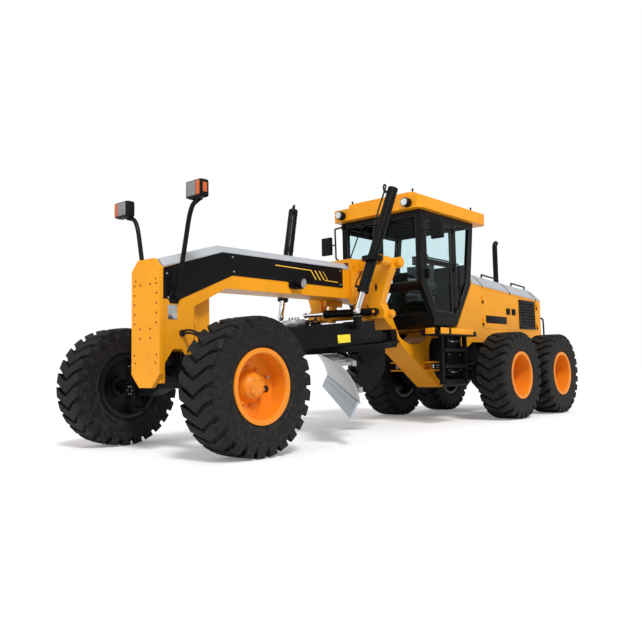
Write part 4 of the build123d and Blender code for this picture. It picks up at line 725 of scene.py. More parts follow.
worn = worn_steel("worn_blade_steel", (0.40, 0.405, 0.415), 0.36, (1, 12, 12))
edge_steel = worn_steel("cutting_edge_steel", (0.47, 0.54, 0.60), 0.30, (1, 9, 9))
dress(["moldboard"], worn)
dress(["cutting_edge"], edge_steel)
EDGE_FOOT, EDGE_LEAN = (0.195, -0.848), radians(28.4)
shape = bmesh.new()
outward = CIRCLE.to_3x3() @ Vector((cos(EDGE_LEAN), 0, sin(EDGE_LEAN)))
for number in range(26):
    left = BLADE_MIDDLE - BLADE_HALF + 0.075 + number * (2 * BLADE_HALF - 0.15) / 25
    for rise in (0.125,):
        spot = on_circle(EDGE_FOOT[0] - rise * sin(EDGE_LEAN), left, EDGE_FOOT[1] + rise * cos(EDGE_LEAN))
        stub(shape, spot - outward * 0.001, spot + outward * 0.003, 0.013, 16, bevel=0.001)
finish_piece("plough_bolts", shape, bare, "blade")

# ---------------------------------------------------------------- cylinders
# Honed barrels painted black, with hard-chromed rods. The lift cylinders hang in swivel rings at the saddle;
# steel pipes and looped hoses lead up to their heads.
dress(["lift_barrel_left", "lift_barrel_right", "shift_barrel", "tip_barrel", "articulation_barrel_left",
    "articulation_barrel_right",
       "lift_ring_left", "lift_ring_right"], black)
dress(["lift_rod_left", "lift_rod_right", "shift_rod", "tip_rod", "articulation_rod_left",
    "articulation_rod_right"], chrome)
RING_MIDDLE = (-2.45, 0.75, 2.18)
LIFT_PAD = (1.96, 0.655, 0.272)
for side, sign in SIDES:
    middle = from_axle(RING_MIDDLE[0], sign * RING_MIDDLE[1], RING_MIDDLE[2])
    foot = on_drawbar(LIFT_PAD[0], sign * LIFT_PAD[1], LIFT_PAD[2])
    down = (foot - middle).normalized()
    inward = Vector((0.655, -0.755 * sign, 0))
    beside = down.cross(inward).normalized()
    toward = beside.cross(down).normalized()
    head, gland = middle - down * 0.985, middle + down * 0.455
    shape = bmesh.new()
    stub(shape, head - down * 0.004, head + down * 0.012, 0.060, 32, bevel=0.003)
    for end, reach in ((head + down * 0.07, 0.092), (gland - down * 0.05, 0.100)):
        stub(shape, end + toward * 0.055, end + toward * reach, 0.016, 20, bevel=0.002)
        stub(shape, end + toward * (reach - 0.012), end + toward * (reach + 0.012), 0.019, 6, bevel=0.002)
    for number in range(8):
        around = radians(45 * number)
        bolt(shape, gland + (toward * cos(around) + beside * sin(around)) * 0.052, down, 0.008)
    finish_piece("lift_fittings_" + side, shape, black, "lift_barrel_" + side)
    pipe("lift_pipe_" + side, [
        gland - down * 0.05 + toward * 0.105, gland - down * 0.10 + toward * 0.112,
        gland - down * 0.20 + toward * 0.090,
        gland - down * 0.26 + toward * 0.082], 0.008, black, "lift_barrel_" + side)
    pipe("lift_hose_" + side, [
        head + down * 0.07 + toward * 0.100, head + down * 0.02 + toward * 0.130,
        head - down * 0.03 + toward * 0.120,
        head - down * 0.015 + toward * 0.095 + beside * 0.02,
        head + down * 0.12 + toward * 0.100 + beside * 0.03,
        head + down * 0.35 + toward * 0.105 + beside * 0.03,
        head + down * 0.62 + toward * 0.085 + beside * 0.02,
        head + down * 0.70 + toward * 0.078], 0.011, hose_black, "lift_barrel_" + side)
    shape = bmesh.new()
    for at in (0.20, 0.45, 0.66):
        spot = head + down * at
        stub(shape, spot - down * 0.009, spot + down * 0.009, 0.0685, 40, bevel=0.002)
    finish_piece("lift_bands_" + side, shape, black, "lift_barrel_" + side)
    # bolted half shells round the ball of the rod's end
    shape = bmesh.new()
    for number in range(6):
        around = radians(60 * number)
        axis = DRAWBAR.to_3x3() @ Vector((cos(around), sin(around), 0))
        bolt(shape, on_drawbar(1.96, sign * 0.655, 0.207) + axis * 0.040,
            DRAWBAR.to_3x3() @ Vector((0, 0, 1)), 0.007)
    finish_piece("ball_cap_bolts_" + side, shape, bare, "drawbar")

# ---------------------------------------------------------------- saddle
# Cast cheeks clamp the beam with studs, and two bent arms hold the swivel rings and the centre-shift
# cylinder. Bolted covers close the pin bores, and a bundle of hoses runs from a manifold to the hitch.
for side, sign in SIDES:
    shape = bmesh.new()
    for x in (-2.95, -2.85, -2.70):
        for z in (1.74, 2.17):
            bolt(shape, from_axle(x, sign * 0.25, z), (0, sign, 0), 0.016)
    for z, radius in ((2.17, 0.072), (1.51, 0.055)):
        y = 0.85 if z == 2.17 else 0.70
        stub(shape, from_axle(-2.93, sign * y, z), from_axle(-2.93, sign * (y + 0.012), z), radius * 0.86,
            32, bevel=0.003)
        for number in range(6):
            around = radians(60 * number)
            bolt(shape, from_axle(-2.93 + radius * 0.62 * cos(around), sign * (y + 0.012),
                z + radius * 0.62 * sin(around)), (0, sign, 0), 0.007)
    stub(shape, from_axle(-2.575, sign * 0.75, 2.18), from_axle(-2.60, sign * 0.75, 2.18), 0.070, 32,
        bevel=0.003)
    finish_piece("saddle_covers_" + side, shape, yellow, "front_frame")
shape = bmesh.new()
brick(shape, from_axle(-3.10, -0.12, 1.74), from_axle(-2.99, 0.12, 1.90), 0.006)
for y in (-0.08, -0.03, 0.03, 0.08):
    stub(shape, from_axle(-3.045, y, 1.735), from_axle(-3.045, y, 1.70), 0.015, 6, bevel=0.002)
finish_piece("saddle_manifold", shape, bare, "front_frame")
# three layers of hoses from the saddle's rear down the neck's slope to the hitch, with their unions
NECK_SLOPE = ((-3.40, 1.888), (-3.55, 1.649), (-3.70, 1.410), (-3.82, 1.225))
OFF_SLOPE = Vector((-0.847, 0, 0.531))
for number in range(8):
    y = -0.049 + 0.014 * number
    off = 0.024 + 0.034 * (number % 3)
    run = [from_axle(x, y * wide, z) + OFF_SLOPE * off * bow for (x, z), wide,
        bow in zip(NECK_SLOPE, (0.9, 1.05, 1.0, 0.8), (0.8, 1.3, 1.0, 1.1))]
    run = [from_axle(-3.30, y, 2.005)] + run + [from_axle(-3.89, y * 0.7, 1.262),
        from_axle(-3.92, y * 0.6, 1.232)]
    pipe("hitch_hose_%d" % (number + 1), run, (0.011, 0.015, 0.018)[number % 3], hose_black, "front_frame")
shape = bmesh.new()
for x, y, z in ((-3.61, 0.045, 1.69), (-3.68, 0.020, 1.60), (-3.72, -0.04, 1.50), (-3.79, 0.040, 1.385)):
    stub(shape, from_axle(x, y, z), from_axle(x - 0.03, y - 0.003, z - 0.05), 0.022, 6, bevel=0.002)
finish_piece("hose_unions", shape, bare, "front_frame")
# black plugs in the arms' weight holes and over the bored pins
for side, sign in SIDES:
    shape = bmesh.new()
    for y, z, wide, high in ((0.635, 2.17, 0.026, 0.026), (0.52, 1.51, 0.026, 0.026),
            (0.545, 1.86, 0.020, 0.052)):
        at = Matrix.Translation(from_axle(-2.789, sign * y, z)) @ Matrix.Diagonal((1, wide, high,
            1)) @ Matrix.Rotation(pi / 2, 4, "Y")
        bmesh.ops.create_cone(shape, cap_ends=True, segments=32, radius1=1, radius2=0.9, depth=0.004,
            matrix=at)
    finish_piece("saddle_plugs_" + side, shape, hose_black, "front_frame")

# ---------------------------------------------------------------- beam lamps
# A round work lamp stands out from the lower edge of each side cover, on a bolted black bracket, and
# lights the blade. It has a bright bowl behind a clear lens.
for side, sign in SIDES:
    centre = from_axle(-1.62, sign * 0.30, 1.845)
    aim = Vector((-0.22, sign * 0.93, -0.20)).normalized()
    shape = bmesh.new()
    brick(shape, from_axle(-1.62 - 0.05, min(sign * 0.206, sign * 0.212), 1.79),
        from_axle(-1.62 + 0.13, max(sign * 0.206, sign * 0.212), 1.90), 0.003)
    brick(shape, from_axle(-1.62 - 0.03, min(sign * 0.206, sign * 0.30), 1.775),
        from_axle(-1.62 + 0.10, max(sign * 0.206, sign * 0.30), 1.785), 0.002)
    stub(shape, centre - aim * 0.075, centre - aim * 0.02, 0.046, 32, bevel=0.008)
    stub(shape, centre - aim * 0.02, centre + aim * 0.025, 0.064, 36, bevel=0.006)
    bolt(shape, from_axle(-1.54, sign * 0.212, 1.87), (0, sign, 0), 0.010)
    finish_piece("work_lamp_" + side, shape, plastic, "front_frame")
    shape = bmesh.new()
    stub(shape, centre + aim * 0.0255, centre + aim * 0.0275, 0.054, 36)
    finish_piece("work_lamp_bowl_" + side, shape, chrome, "front_frame")
    shape = bmesh.new()
    stub(shape, centre + aim * 0.028, centre + aim * 0.033, 0.056, 36, bevel=0.002)
    finish_piece("work_lamp_lens_" + side, shape, lens_clear, "front_frame")

# ---------------------------------------------------------------- rear frame, platforms and ladders
# Two channel rails carry everything behind the hitch. Checker-plate platforms on outriggers lie along the
# cab, edged with yellow flats, with bolted ladders and open steps under the doors.
dress(["ladders", "tandem_axle", "engine"], black)
for side, sign in SIDES:
    shape = bmesh.new()
    for front, rear in ((-3.72, -3.94), (-4.00, -4.62)):
        low, high = sorted((sign * 0.930, sign * 0.936))
        brick(shape, from_axle(rear, low, 1.262), from_axle(front, high, 1.345), 0.003)
    low, high = sorted((sign * 0.702, sign * 0.85))
    brick(shape, from_axle(-3.700, low, 1.262), from_axle(-3.694, high, 1.345), 0.002)
    finish_piece("platform_edges_" + side, shape, yellow, "rear_frame")
    # raised tread bars of the checker plate
    shape = bmesh.new()
    for row in range(22):
        for column in range(5):
            x, y = -3.735 - row * 0.045, 0.722 + column * 0.045
            tilt = Matrix.Translation(from_axle(x, sign * y,
                1.3105)) @ Matrix.Rotation(radians(45 if (row + column) % 2 else -45), 4, "Z")
            brick(shape, (-0.014, -0.0035, 0), (0.014, 0.0035, 0.002), 0, 1, tilt)
    finish_piece("checker_plate_" + side, shape, black, "rear_frame")
    shape = bmesh.new()
    for z in (0.60, 0.83, 1.06):
        for tooth in range(15):
            x = -3.93 - tooth * 0.0437
            low, high = sorted((sign * 0.770, sign * 0.860))
            brick(shape, from_axle(x - 0.007, low, z), from_axle(x + 0.007, high, z + 0.006), 0.001, 1)
    finish_piece("step_grips_" + side, shape, black, "rear_frame")
    shape = bmesh.new()
    for x in (-4.25, -4.55):
        for z in (0.76, 0.98, 1.18):
            bolt(shape, from_axle(x, sign * 0.74, z), (0, sign, 0), 0.008)
    low, high = sorted((sign * 0.740, sign * 0.746))
    brick(shape, from_axle(-4.50, low, 0.72), from_axle(-4.30, high, 0.74), 0.002)
    brick(shape, from_axle(-4.50, low, 1.16), from_axle(-4.30, high, 1.18), 0.002)
    finish_piece("tank_fittings_" + side, shape, bare, "rear_frame")
    # chain case covers and their bolts
    shape = bmesh.new()
    for x in (-5.45, -6.99):
        for number in range(10):
            around = radians(36 * number)
            place = from_axle(x + 0.175 * cos(around), sign * 0.7, 0.66 + 0.175 * sin(around))
            place.y = sign * 0.722
            bolt(shape, place, (0, sign, 0), 0.010)
    finish_piece("case_bolts_" + side, shape, bare, "rear_frame")

# ---------------------------------------------------------------- cab shell, roof and glass
# The cab is a welded frame of black tubes with bonded tinted panes, on rubber feet. Its roof is a moulded
# yellow cap with two round work lamps let into its brow and lifting eyes on top.
dress(["cab_shell", "cab_door_left", "cab_door_right", "mirrors"], black)
dress(["cab_roof"], yellow)


def tinted_glass(name, colour):
    """Thin safety glass, a little green, with faint smears scattered over it."""
    skin = bpy.data.materials.new(name)
    skin.use_nodes = True
    tree = skin.node_tree
    shader = tree.nodes["Principled BSDF"]
    place = join_nodes(tree, "ShaderNodeTexCoord").outputs["Object"]
    smears = join_nodes(tree, "ShaderNodeTexNoise",
        [("Vector", place), ("Scale", 4), ("Detail", 8), ("Roughness", 0.7)]).outputs["Fac"]
    tree.links.new(blend_colours(tree, scale_value(tree, smears, 0.4, 0.75, 0.0, 0.5), (*colour, 1),
        (*[c * 0.86 for c in colour], 1)), shader.inputs["Base Color"])
    tree.links.new(scale_value(tree, smears, 0.3, 0.8, 0.01, 0.05), shader.inputs["Roughness"])
    shader.inputs["Transmission Weight"].default_value = 1.0
    shader.inputs["IOR"].default_value = 1.12
    return skin


glass = tinted_glass("cab_glass", (0.80, 0.92, 0.94))
dress(["cab_glass", "door_glass_left", "door_glass_right"], glass)
shape = bmesh.new()
for side, sign in SIDES:
    stub(shape, from_axle(-3.535, sign * 0.59, 3.10), from_axle(-3.432, sign * 0.59, 3.10), 0.0635, 40,
        bevel=0.004)
finish_piece("roof_lamp_rings", shape, plastic, "rear_frame")
shape = bmesh.new()
for side, sign in SIDES:
    stub(shape, from_axle(-3.433, sign * 0.59, 3.10), from_axle(-3.429, sign * 0.59, 3.10), 0.050, 40)
finish_piece("roof_lamp_bowls", shape, chrome, "rear_frame")
shape = bmesh.new()
for side, sign in SIDES:
    stub(shape, from_axle(-3.430, sign * 0.59, 3.10), from_axle(-3.424, sign * 0.59, 3.10), 0.052, 40,
        bevel=0.002)
finish_piece("roof_lamp_lenses", shape, lens_clear, "rear_frame")
shape = bmesh.new()
for x, y in ((-3.64, 0.60), (-3.64, -0.48), (-5.30, 0.60), (-5.30, -0.48)):
    stub(shape, from_axle(x, y, 3.261), from_axle(x, y, 3.268), 0.026, 20, bevel=0.002)
    stub(shape, from_axle(x, y, 3.268), from_axle(x, y, 3.310), 0.012, 16, bevel=0.003)
    stub(shape, from_axle(x, y - 0.001, 3.310), from_axle(x, y + 0.001, 3.322), 0.018, 16, bevel=0.003)
finish_piece("roof_eyes", shape, black, "rear_frame")
# rounded welts round the roof's rim
shape = bmesh.new()
for side, sign in SIDES:
    low, high = sorted((sign * 0.772, sign * 0.782))
    brick(shape, from_axle(-5.38, low, 3.022), from_axle(-3.59, high, 3.040), 0.003)
brick(shape, from_axle(-3.532, -0.72, 3.022), from_axle(-3.522, 0.72, 3.040), 0.003)
finish_piece("roof_rim", shape, yellow, "rear_frame")
felt = coat("lining_felt", (0.006, 0.0065, 0.007), (0.012, 0.012, 0.012), roughness=0.95, dust=0.0,
    grain=600, relief=0.0004, gloss=0.0, shine=0.0)
shape = bmesh.new()
brick(shape, from_axle(-5.06, -0.618, 2.925), from_axle(-3.73, 0.618, 2.943), 0.006)
finish_piece("roof_lining", shape, felt, "rear_frame")

# ---------------------------------------------------------------- window seals
# Black rubber profiles hold the panes in their frames, rounded at every corner.
seal_rubber = coat("seal_rubber", (0.010, 0.010, 0.011), (0.04, 0.04, 0.04), roughness=0.55, dust=0.1,
    grain=300, gloss=0.0)
DOOR_LIGHTS = (
    [(-3.786, 2.874), (-3.786, 2.345), (-4.469, 2.345), (-4.469, 2.874)],
    [(-3.786, 2.275), (-3.786, 1.983), (-4.017, 1.591), (-4.469, 1.591), (-4.469, 2.275)],
)
QUARTER = [(-4.610, 2.935), (-4.610, 1.620), (-4.925, 2.065), (-5.060, 2.935)]


def seal(shape, outline, place, radius):
    """A round rubber bead along a closed outline."""
    middle = sum((place(*p) for p in outline), Vector()) / len(outline)
    corners = [place(*p) for p in outline]
    corners = [c + (middle - c).normalized() * radius for c in corners]
    for start, end in zip(corners, corners[1:] + corners[:1]):
        stub(shape, start, end, radius, 10)
    for corner in corners:
        bmesh.ops.create_uvsphere(shape, u_segments=10, v_segments=8, radius=radius,
            matrix=Matrix.Translation(corner))


for side, sign in SIDES:
    shape = bmesh.new()
    for outline in DOOR_LIGHTS:
        seal(shape, outline, lambda x, z: from_axle(x, sign * 0.693, z), 0.011)
    finish_piece("door_seals_" + side, shape, seal_rubber, "cab_door_" + side)
    shape = bmesh.new()
    seal(shape, QUARTER, lambda x, z: from_axle(x, sign * 0.690, z), 0.010)
    finish_piece("quarter_seal_" + side, shape, seal_rubber, "rear_frame")
shape = bmesh.new()
seal(shape, [(-0.625, 2.0), (0.625, 2.0), (0.625, 2.945), (-0.625, 2.945)], lambda y,
    z: from_axle(-3.668, y, z), 0.011)
finish_piece("windscreen_seal", shape, seal_rubber, "rear_frame")

# ---------------------------------------------------------------- wipers, mirrors and rails
# Each screen has its own wiper on a motor spindle. The mirrors stand on tubes outside the front posts, and
# tube rails beside the doors give three points of hold on the way up.
shape = bmesh.new()
for pivot, tip in (((-3.640, 0.20, 2.93), (-3.638, -0.16, 2.52)),
        ((-3.640, -0.30, 2.93), (-3.638, -0.52, 2.50))):
    stub(shape, from_axle(*pivot), from_axle(pivot[0] + 0.016, pivot[1], pivot[2]), 0.022, 20, bevel=0.003)
    start, end = from_axle(pivot[0] + 0.010, pivot[1], pivot[2]), from_axle(tip[0] + 0.008, tip[1], tip[2])
    stub(shape, start, end, 0.007, 10)
    along_it = (end - start).normalized()
    stub(shape, end - along_it * 0.30, end + along_it * 0.12, 0.010, 8)
finish_piece("wipers", shape, plastic, "rear_frame")
for side, sign in SIDES:
    shape = bmesh.new()
    low, high = sorted((sign * 0.912, sign * 1.068))
    brick(shape, from_axle(-3.654, low, 2.573), from_axle(-3.650, high, 2.817), 0.002)
    finish_piece("mirror_glass_" + side, shape, chrome, "rear_frame")
    shape = bmesh.new()
    low, high = sorted((sign * 0.896, sign * 1.084))
    brick(shape, from_axle(-3.646, low, 2.556), from_axle(-3.592, high, 2.834), 0.020, 4)
    finish_piece("mirror_shell_" + side, shape, plastic, "rear_frame")
    pipe("door_rail_" + side, [from_axle(x, sign * y, z) for x, y, z in (
        (-4.585, 0.700, 1.66), (-4.585, 0.730, 1.66), (-4.585, 0.752, 1.69), (-4.585, 0.755, 2.00),
        (-4.585, 0.752, 2.30), (-4.585, 0.730, 2.33),
        (-4.585, 0.700, 2.33))], 0.012, black, "rear_frame")
    shape = bmesh.new()
    spot = from_axle(-3.79, sign * 0.728, 2.115)
    low, high = sorted((sign * 0.726, sign * 0.738))
    brick(shape, from_axle(-3.812, low, 2.046), from_axle(-3.768, high, 2.184), 0.005, 3)
    stub(shape, from_axle(-3.79, sign * 0.736, 2.080), from_axle(-3.79, sign * 0.741, 2.080), 0.012, 20)
    finish_piece("door_pull_" + side, shape, plastic, "cab_door_" + side)

# ---------------------------------------------------------------- seat
# A sprung driver's seat: woven grey covers over crowned foam, with piped seams and folding arm pads,
# on a suspension box with a rubber gaiter. The covers are sewn in three lengthwise channels.


def woven_cover(name, colour):
    """Coarse seat cloth with a crossed weave and faint fading."""
    skin = bpy.data.materials.new(name)
    skin.use_nodes = True
    tree = skin.node_tree
    shader = tree.nodes["Principled BSDF"]
    place = join_nodes(tree, "ShaderNodeTexCoord").outputs["Object"]
    one = join_nodes(tree, "ShaderNodeTexWave", [("Vector", place), ("Scale", 160), ("Distortion", 0.4)],
        bands_direction="X").outputs["Fac"]
    two = join_nodes(tree, "ShaderNodeTexWave", [("Vector", place), ("Scale", 160), ("Distortion", 0.4)],
        bands_direction="Y").outputs["Fac"]
    three = join_nodes(tree, "ShaderNodeTexWave", [("Vector", place), ("Scale", 160), ("Distortion", 0.4)],
        bands_direction="Z").outputs["Fac"]
    weave = times(tree, times(tree, one, two, "ADD"), three, "ADD")
    fade = join_nodes(tree, "ShaderNodeTexNoise",
        [("Vector", place), ("Scale", 9), ("Detail", 5)]).outputs["Fac"]
    tone = times(tree, scale_value(tree, weave, 0.5, 2.5, 0.75, 1.2),
        scale_value(tree, fade, 0.3, 0.7, 0.85, 1.15))
    tones = join_nodes(tree, "ShaderNodeCombineColor", [(0, tone), (1, tone), (2, tone)]).outputs[0]
    tree.links.new(blend_colours(tree, 1.0, (*colour, 1), tones, "MULTIPLY"), shader.inputs["Base Color"])
    bump = join_nodes(tree, "ShaderNodeBump", [("Strength", 0.6), ("Distance", 0.0008), ("Height", weave)])
    tree.links.new(bump.outputs[0], shader.inputs["Normal"])
    shader.inputs["Roughness"].default_value = 0.9
    shader.inputs["Sheen Weight"].default_value = 0.4
    return skin


cloth = woven_cover("seat_cloth", (0.060, 0.062, 0.066))


def cushion(name, low, high, crown, channels, up_axis, body="rear_frame"):
    """A crowned pad whose sides pull in between its corners, with sewn channels on its upper face."""
    low, high = Vector(low), Vector(high)
    middle, half = (low + high) / 2, (high - low) / 2
    shape = bmesh.new()
    bmesh.ops.create_cube(shape, size=2)
    bmesh.ops.subdivide_edges(shape, edges=shape.edges, cuts=15, use_grid_fill=True)
    flat = [axis for axis in range(3) if axis != up_axis]
    for corner in shape.verts:
        at = corner.co.copy()
        swell = (1 - at[flat[0]] ** 4) * (1 - at[flat[1]] ** 4)
        spot = Vector(at)
        for axis in flat:
            other = flat[0] if axis == flat[1] else flat[1]
            spot[axis] = at[axis] * (0.955 + 0.045 * at[other] ** 2 - 0.02 * at[up_axis] ** 4)
        spot = Vector((spot.x * half.x, spot.y * half.y, spot.z * half.z))
        if at[up_axis] > 0:
            groove = sum(0.010 * max(0, 1 - abs(at[flat[1]] - line) / 0.09) for line in channels)
            spot[up_axis] += at[up_axis] * (crown * swell - crown - groove * swell)
        corner.co = middle + spot
    made = finish_piece(name, shape, cloth, body, 180)
    smooth = made.modifiers.new("smooth", "SUBSURF")
    smooth.levels = smooth.render_levels = 1
    return made


seat = cushion("seat_cushion", from_axle(-4.70, -0.25, 1.80), from_axle(-4.22, 0.25, 1.925), 0.035,
    (-0.45, 0.45), 2)
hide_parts("seat_and_console")
cushion("seat_back", from_axle(-4.745, -0.24, 1.93), from_axle(-4.655, 0.24, 2.40), 0.030, (), 0)
cushion("head_rest", from_axle(-4.740, -0.14, 2.42), from_axle(-4.665, 0.14, 2.56), 0.025, (), 0)
for side, sign in SIDES:
    low, high = sorted((sign * 0.265, sign * 0.325))
    cushion("arm_pad_" + side, from_axle(-4.66, low, 2.04), from_axle(-4.34, high, 2.085), 0.012, (), 2)
shape = bmesh.new()
brick(shape, from_axle(-4.68, -0.235, 1.765), from_axle(-4.24, 0.235, 1.802), 0.010, 3)
brick(shape, from_axle(-4.62, -0.20, 1.476), from_axle(-4.28, 0.20, 1.54), 0.010, 3)
for step in range(6):
    z = 1.545 + step * 0.037
    inset = 0.02 if step % 2 else 0.0
    brick(shape, from_axle(-4.60 + inset, -0.18 + inset, z),
        from_axle(-4.30 - inset, 0.18 - inset, z + 0.036), 0.012, 3)
brick(shape, from_axle(-4.752, -0.20, 1.94), from_axle(-4.738, 0.20, 2.40), 0.006, 3)
for y in (-0.08, 0.08):
    stub(shape, from_axle(-4.71, y, 2.37), from_axle(-4.71, y, 2.46), 0.008, 12)
for side, sign in SIDES:
    stub(shape, from_axle(-4.68, sign * 0.295, 2.035), from_axle(-4.68, sign * 0.225, 1.95), 0.014, 12)
    brick(shape, from_axle(-4.66, sign * 0.275 - 0.01, 2.026), from_axle(-4.35, sign * 0.295 + 0.015, 2.044),
        0.004)
finish_piece("seat_base", shape, plastic, "rear_frame")

# ---------------------------------------------------------------- steering column and levers
# A tilting pedestal carries the wheel, and on each side a short bank of hydraulic levers with round knobs
# lies under the driver's fingers. Pedals and a ribbed mat are on the floor.
WHEEL = from_axle(-4.19, 0, 2.16)
wheel_up = Vector((-0.08, 0, 0.31)).normalized()
shape = bmesh.new()
sweep(shape, [[from_axle(x, y, z) for x, y in ((xa, -w), (xb, -w), (xb, w), (xa, w))] for z, xa, xb, w in (
    (1.475, -4.17, -4.04, 0.13), (1.60, -4.165, -4.05, 0.115), (1.78, -4.16, -4.055, 0.10),
    (1.90, -4.165, -4.06, 0.09), (1.96, -4.17, -4.085, 0.07))])
bmesh.ops.recalc_face_normals(shape, faces=shape.faces)
bmesh.ops.bevel(shape, geom=shape.edges[:], offset=0.010, segments=3, profile=0.5, affect="EDGES",
    material=-1)
stub(shape, from_axle(-4.12, 0, 1.92), WHEEL - wheel_up * 0.01, 0.032, 24, bevel=0.004)
stub(shape, WHEEL - wheel_up * 0.012, WHEEL + wheel_up * 0.014, 0.044, 28, bevel=0.006)
for turn in (0, 120, 240):
    spoke = Matrix.Rotation(radians(turn), 3, wheel_up) @ wheel_up.orthogonal().normalized()
    stub(shape, WHEEL + spoke * 0.03, WHEEL + spoke * 0.18, 0.009, 12)
for side, sign in SIDES:
    brick(shape, from_axle(-4.21, sign * 0.205 - 0.058, 1.975),
        from_axle(-4.075, sign * 0.205 + 0.058, 2.035), 0.010, 3)
    stub(shape, from_axle(-4.11, sign * 0.06, 1.88), from_axle(-4.135, sign * 0.20, 1.99), 0.022, 16)
    brick(shape, from_axle(-4.04, sign * 0.12 - 0.035, 1.50), from_axle(-4.00, sign * 0.12 + 0.035, 1.60),
        0.006, 2)
finish_piece("steering_pedestal", shape, plastic, "rear_frame")
shape = bmesh.new()
rim_point = WHEEL + wheel_up.orthogonal().normalized() * 0.185
turn = wheel_up.cross(rim_point - WHEEL).to_track_quat("Z", "Y").to_matrix().to_4x4()
grip = bmesh.ops.create_circle(shape, segments=14, radius=0.014,
    matrix=Matrix.Translation(rim_point) @ turn)["verts"]
edges = list({e for v in grip for e in v.link_edges})
bmesh.ops.spin(shape, geom=grip + edges, cent=WHEEL, axis=wheel_up, angle=2 * pi, steps=48, use_merge=True)
bmesh.ops.remove_doubles(shape, verts=shape.verts, dist=0.0001)
bmesh.ops.recalc_face_normals(shape, faces=shape.faces)
finish_piece("steering_wheel", shape, plastic, "rear_frame")
shape = bmesh.new()
for side, sign in SIDES:
    for number in range(4):
        foot = from_axle(-4.115 - 0.022 * number, sign * (0.165 + 0.026 * number), 2.03)
        tip = foot + Vector((-0.012, 0, 0.085))
        stub(shape, foot, tip, 0.0045, 10)
        bmesh.ops.create_uvsphere(shape, u_segments=16, v_segments=10, radius=0.014,
            matrix=Matrix.Translation(tip))
finish_piece("hydraulic_levers", shape, bare, "rear_frame")
shape = bmesh.new()
brick(shape, from_axle(-4.52, -0.60, 1.4752), from_axle(-3.99, 0.60, 1.480), 0.002)
for number in range(22):
    y = -0.57 + number * 0.0543
    if abs(y) > 0.27:
        brick(shape, from_axle(-4.50, y - 0.006, 1.480), from_axle(-4.01, y + 0.006, 1.484), 0, 1)
finish_piece("floor_mat", shape, seal_rubber, "rear_frame")

# ---------------------------------------------------------------- hood
# The hood is folded sheet on a frame: yellow sides and doors, and a grey top over sloping shoulders, with
# rubber in its seams. Air leaves through black louvres, and latches, hinges and blank plates are riveted on.
HOOD_TOP = (-5.25, 2.115, -7.78, 1.985)  # where the shoulders begin: ahead and up, then back and up


def side_top(x):
    """Height of the hood's shoulder at a place along it."""
    front, high, back, low = HOOD_TOP
    return high + (low - high) * (x - front) / (back - front)


dress(["hood"], yellow)
dress(["hood_door_front_left", "hood_door_front_right", "hood_door_rear_left", "hood_door_rear_right"],
    yellow)
dress(["stack_and_rails"], black)
for side, sign in SIDES:
    # raised frames and slats of the air outlet
    shape = bmesh.new()
    low, high = sorted((sign * 0.604, sign * 0.612))
    for x0, x1, z0, z1 in ((-7.53, -6.88, 1.918, 1.95), (-7.53, -6.88, 1.44, 1.472),
            (-6.92, -6.88, 1.44, 1.95), (-7.53, -7.505, 1.44, 1.95)):
        brick(shape, from_axle(x0, low, z0), from_axle(x1, high, z1), 0.003)
    brick(shape, from_axle(-7.52, min(sign * 0.570, sign * 0.574), 1.45),
        from_axle(-6.90, max(sign * 0.570, sign * 0.574), 1.94), 0)
    for number in range(9):
        z = 1.487 + number * 0.052
        brick(shape, from_axle(-7.508, min(sign * 0.574, sign * 0.608), z - 0.012),
            from_axle(-6.917, max(sign * 0.574, sign * 0.608), z + 0.022), 0.003, 1)
    finish_piece("grille_frame_" + side, shape, black, "hood_door_rear_" + side)
    for piece, x, z in (("front", -6.462, 1.72), ("rear", -6.672, 1.72)):
        shape = bmesh.new()
        low, high = sorted((sign * 0.602, sign * 0.612))
        brick(shape, from_axle(x - 0.068, low, z - 0.052), from_axle(x + 0.068, high, z + 0.052), 0.008, 3)
        low, high = sorted((sign * 0.612, sign * 0.620))
        brick(shape, from_axle(x - 0.040, low, z - 0.034), from_axle(x + 0.040, high, z + 0.034), 0.005, 3)
        stub(shape, from_axle(x + 0.02, sign * 0.620, z), from_axle(x + 0.02, sign * 0.624, z), 0.011, 20,
            bevel=0.002)
        finish_piece("latch_%s_%s" % (piece, side), shape, plastic, "hood_door_%s_%s" % (piece, side))
    shape = bmesh.new()
    low, high = sorted((sign * 0.602, sign * 0.606))
    brick(shape, from_axle(-6.40, low, 1.50), from_axle(-5.67, high, 1.62), 0.003)
    finish_piece("blank_plate_" + side, shape, plastic, "hood_door_front_" + side)
    # hinge knuckles
    for piece, x in (("front", -5.567), ("rear", -7.603)):
        shape = bmesh.new()
        for z in (1.49, 1.85):
            stub(shape, from_axle(x, sign * 0.612, z - 0.045), from_axle(x, sign * 0.612, z + 0.045), 0.012,
                16, bevel=0.002)
        finish_piece("hinges_%s_%s" % (piece, side), shape, black, "hood_door_%s_%s" % (piece, side))
    # lower skirt: bolt row and a rubber edge
    shape = bmesh.new()
    for number in range(8):
        bolt(shape, from_axle(-5.35 - number * 0.33, sign * 0.600, 1.28), (0, sign, 0), 0.008)
    finish_piece("skirt_bolts_" + side, shape, bare, "rear_frame")
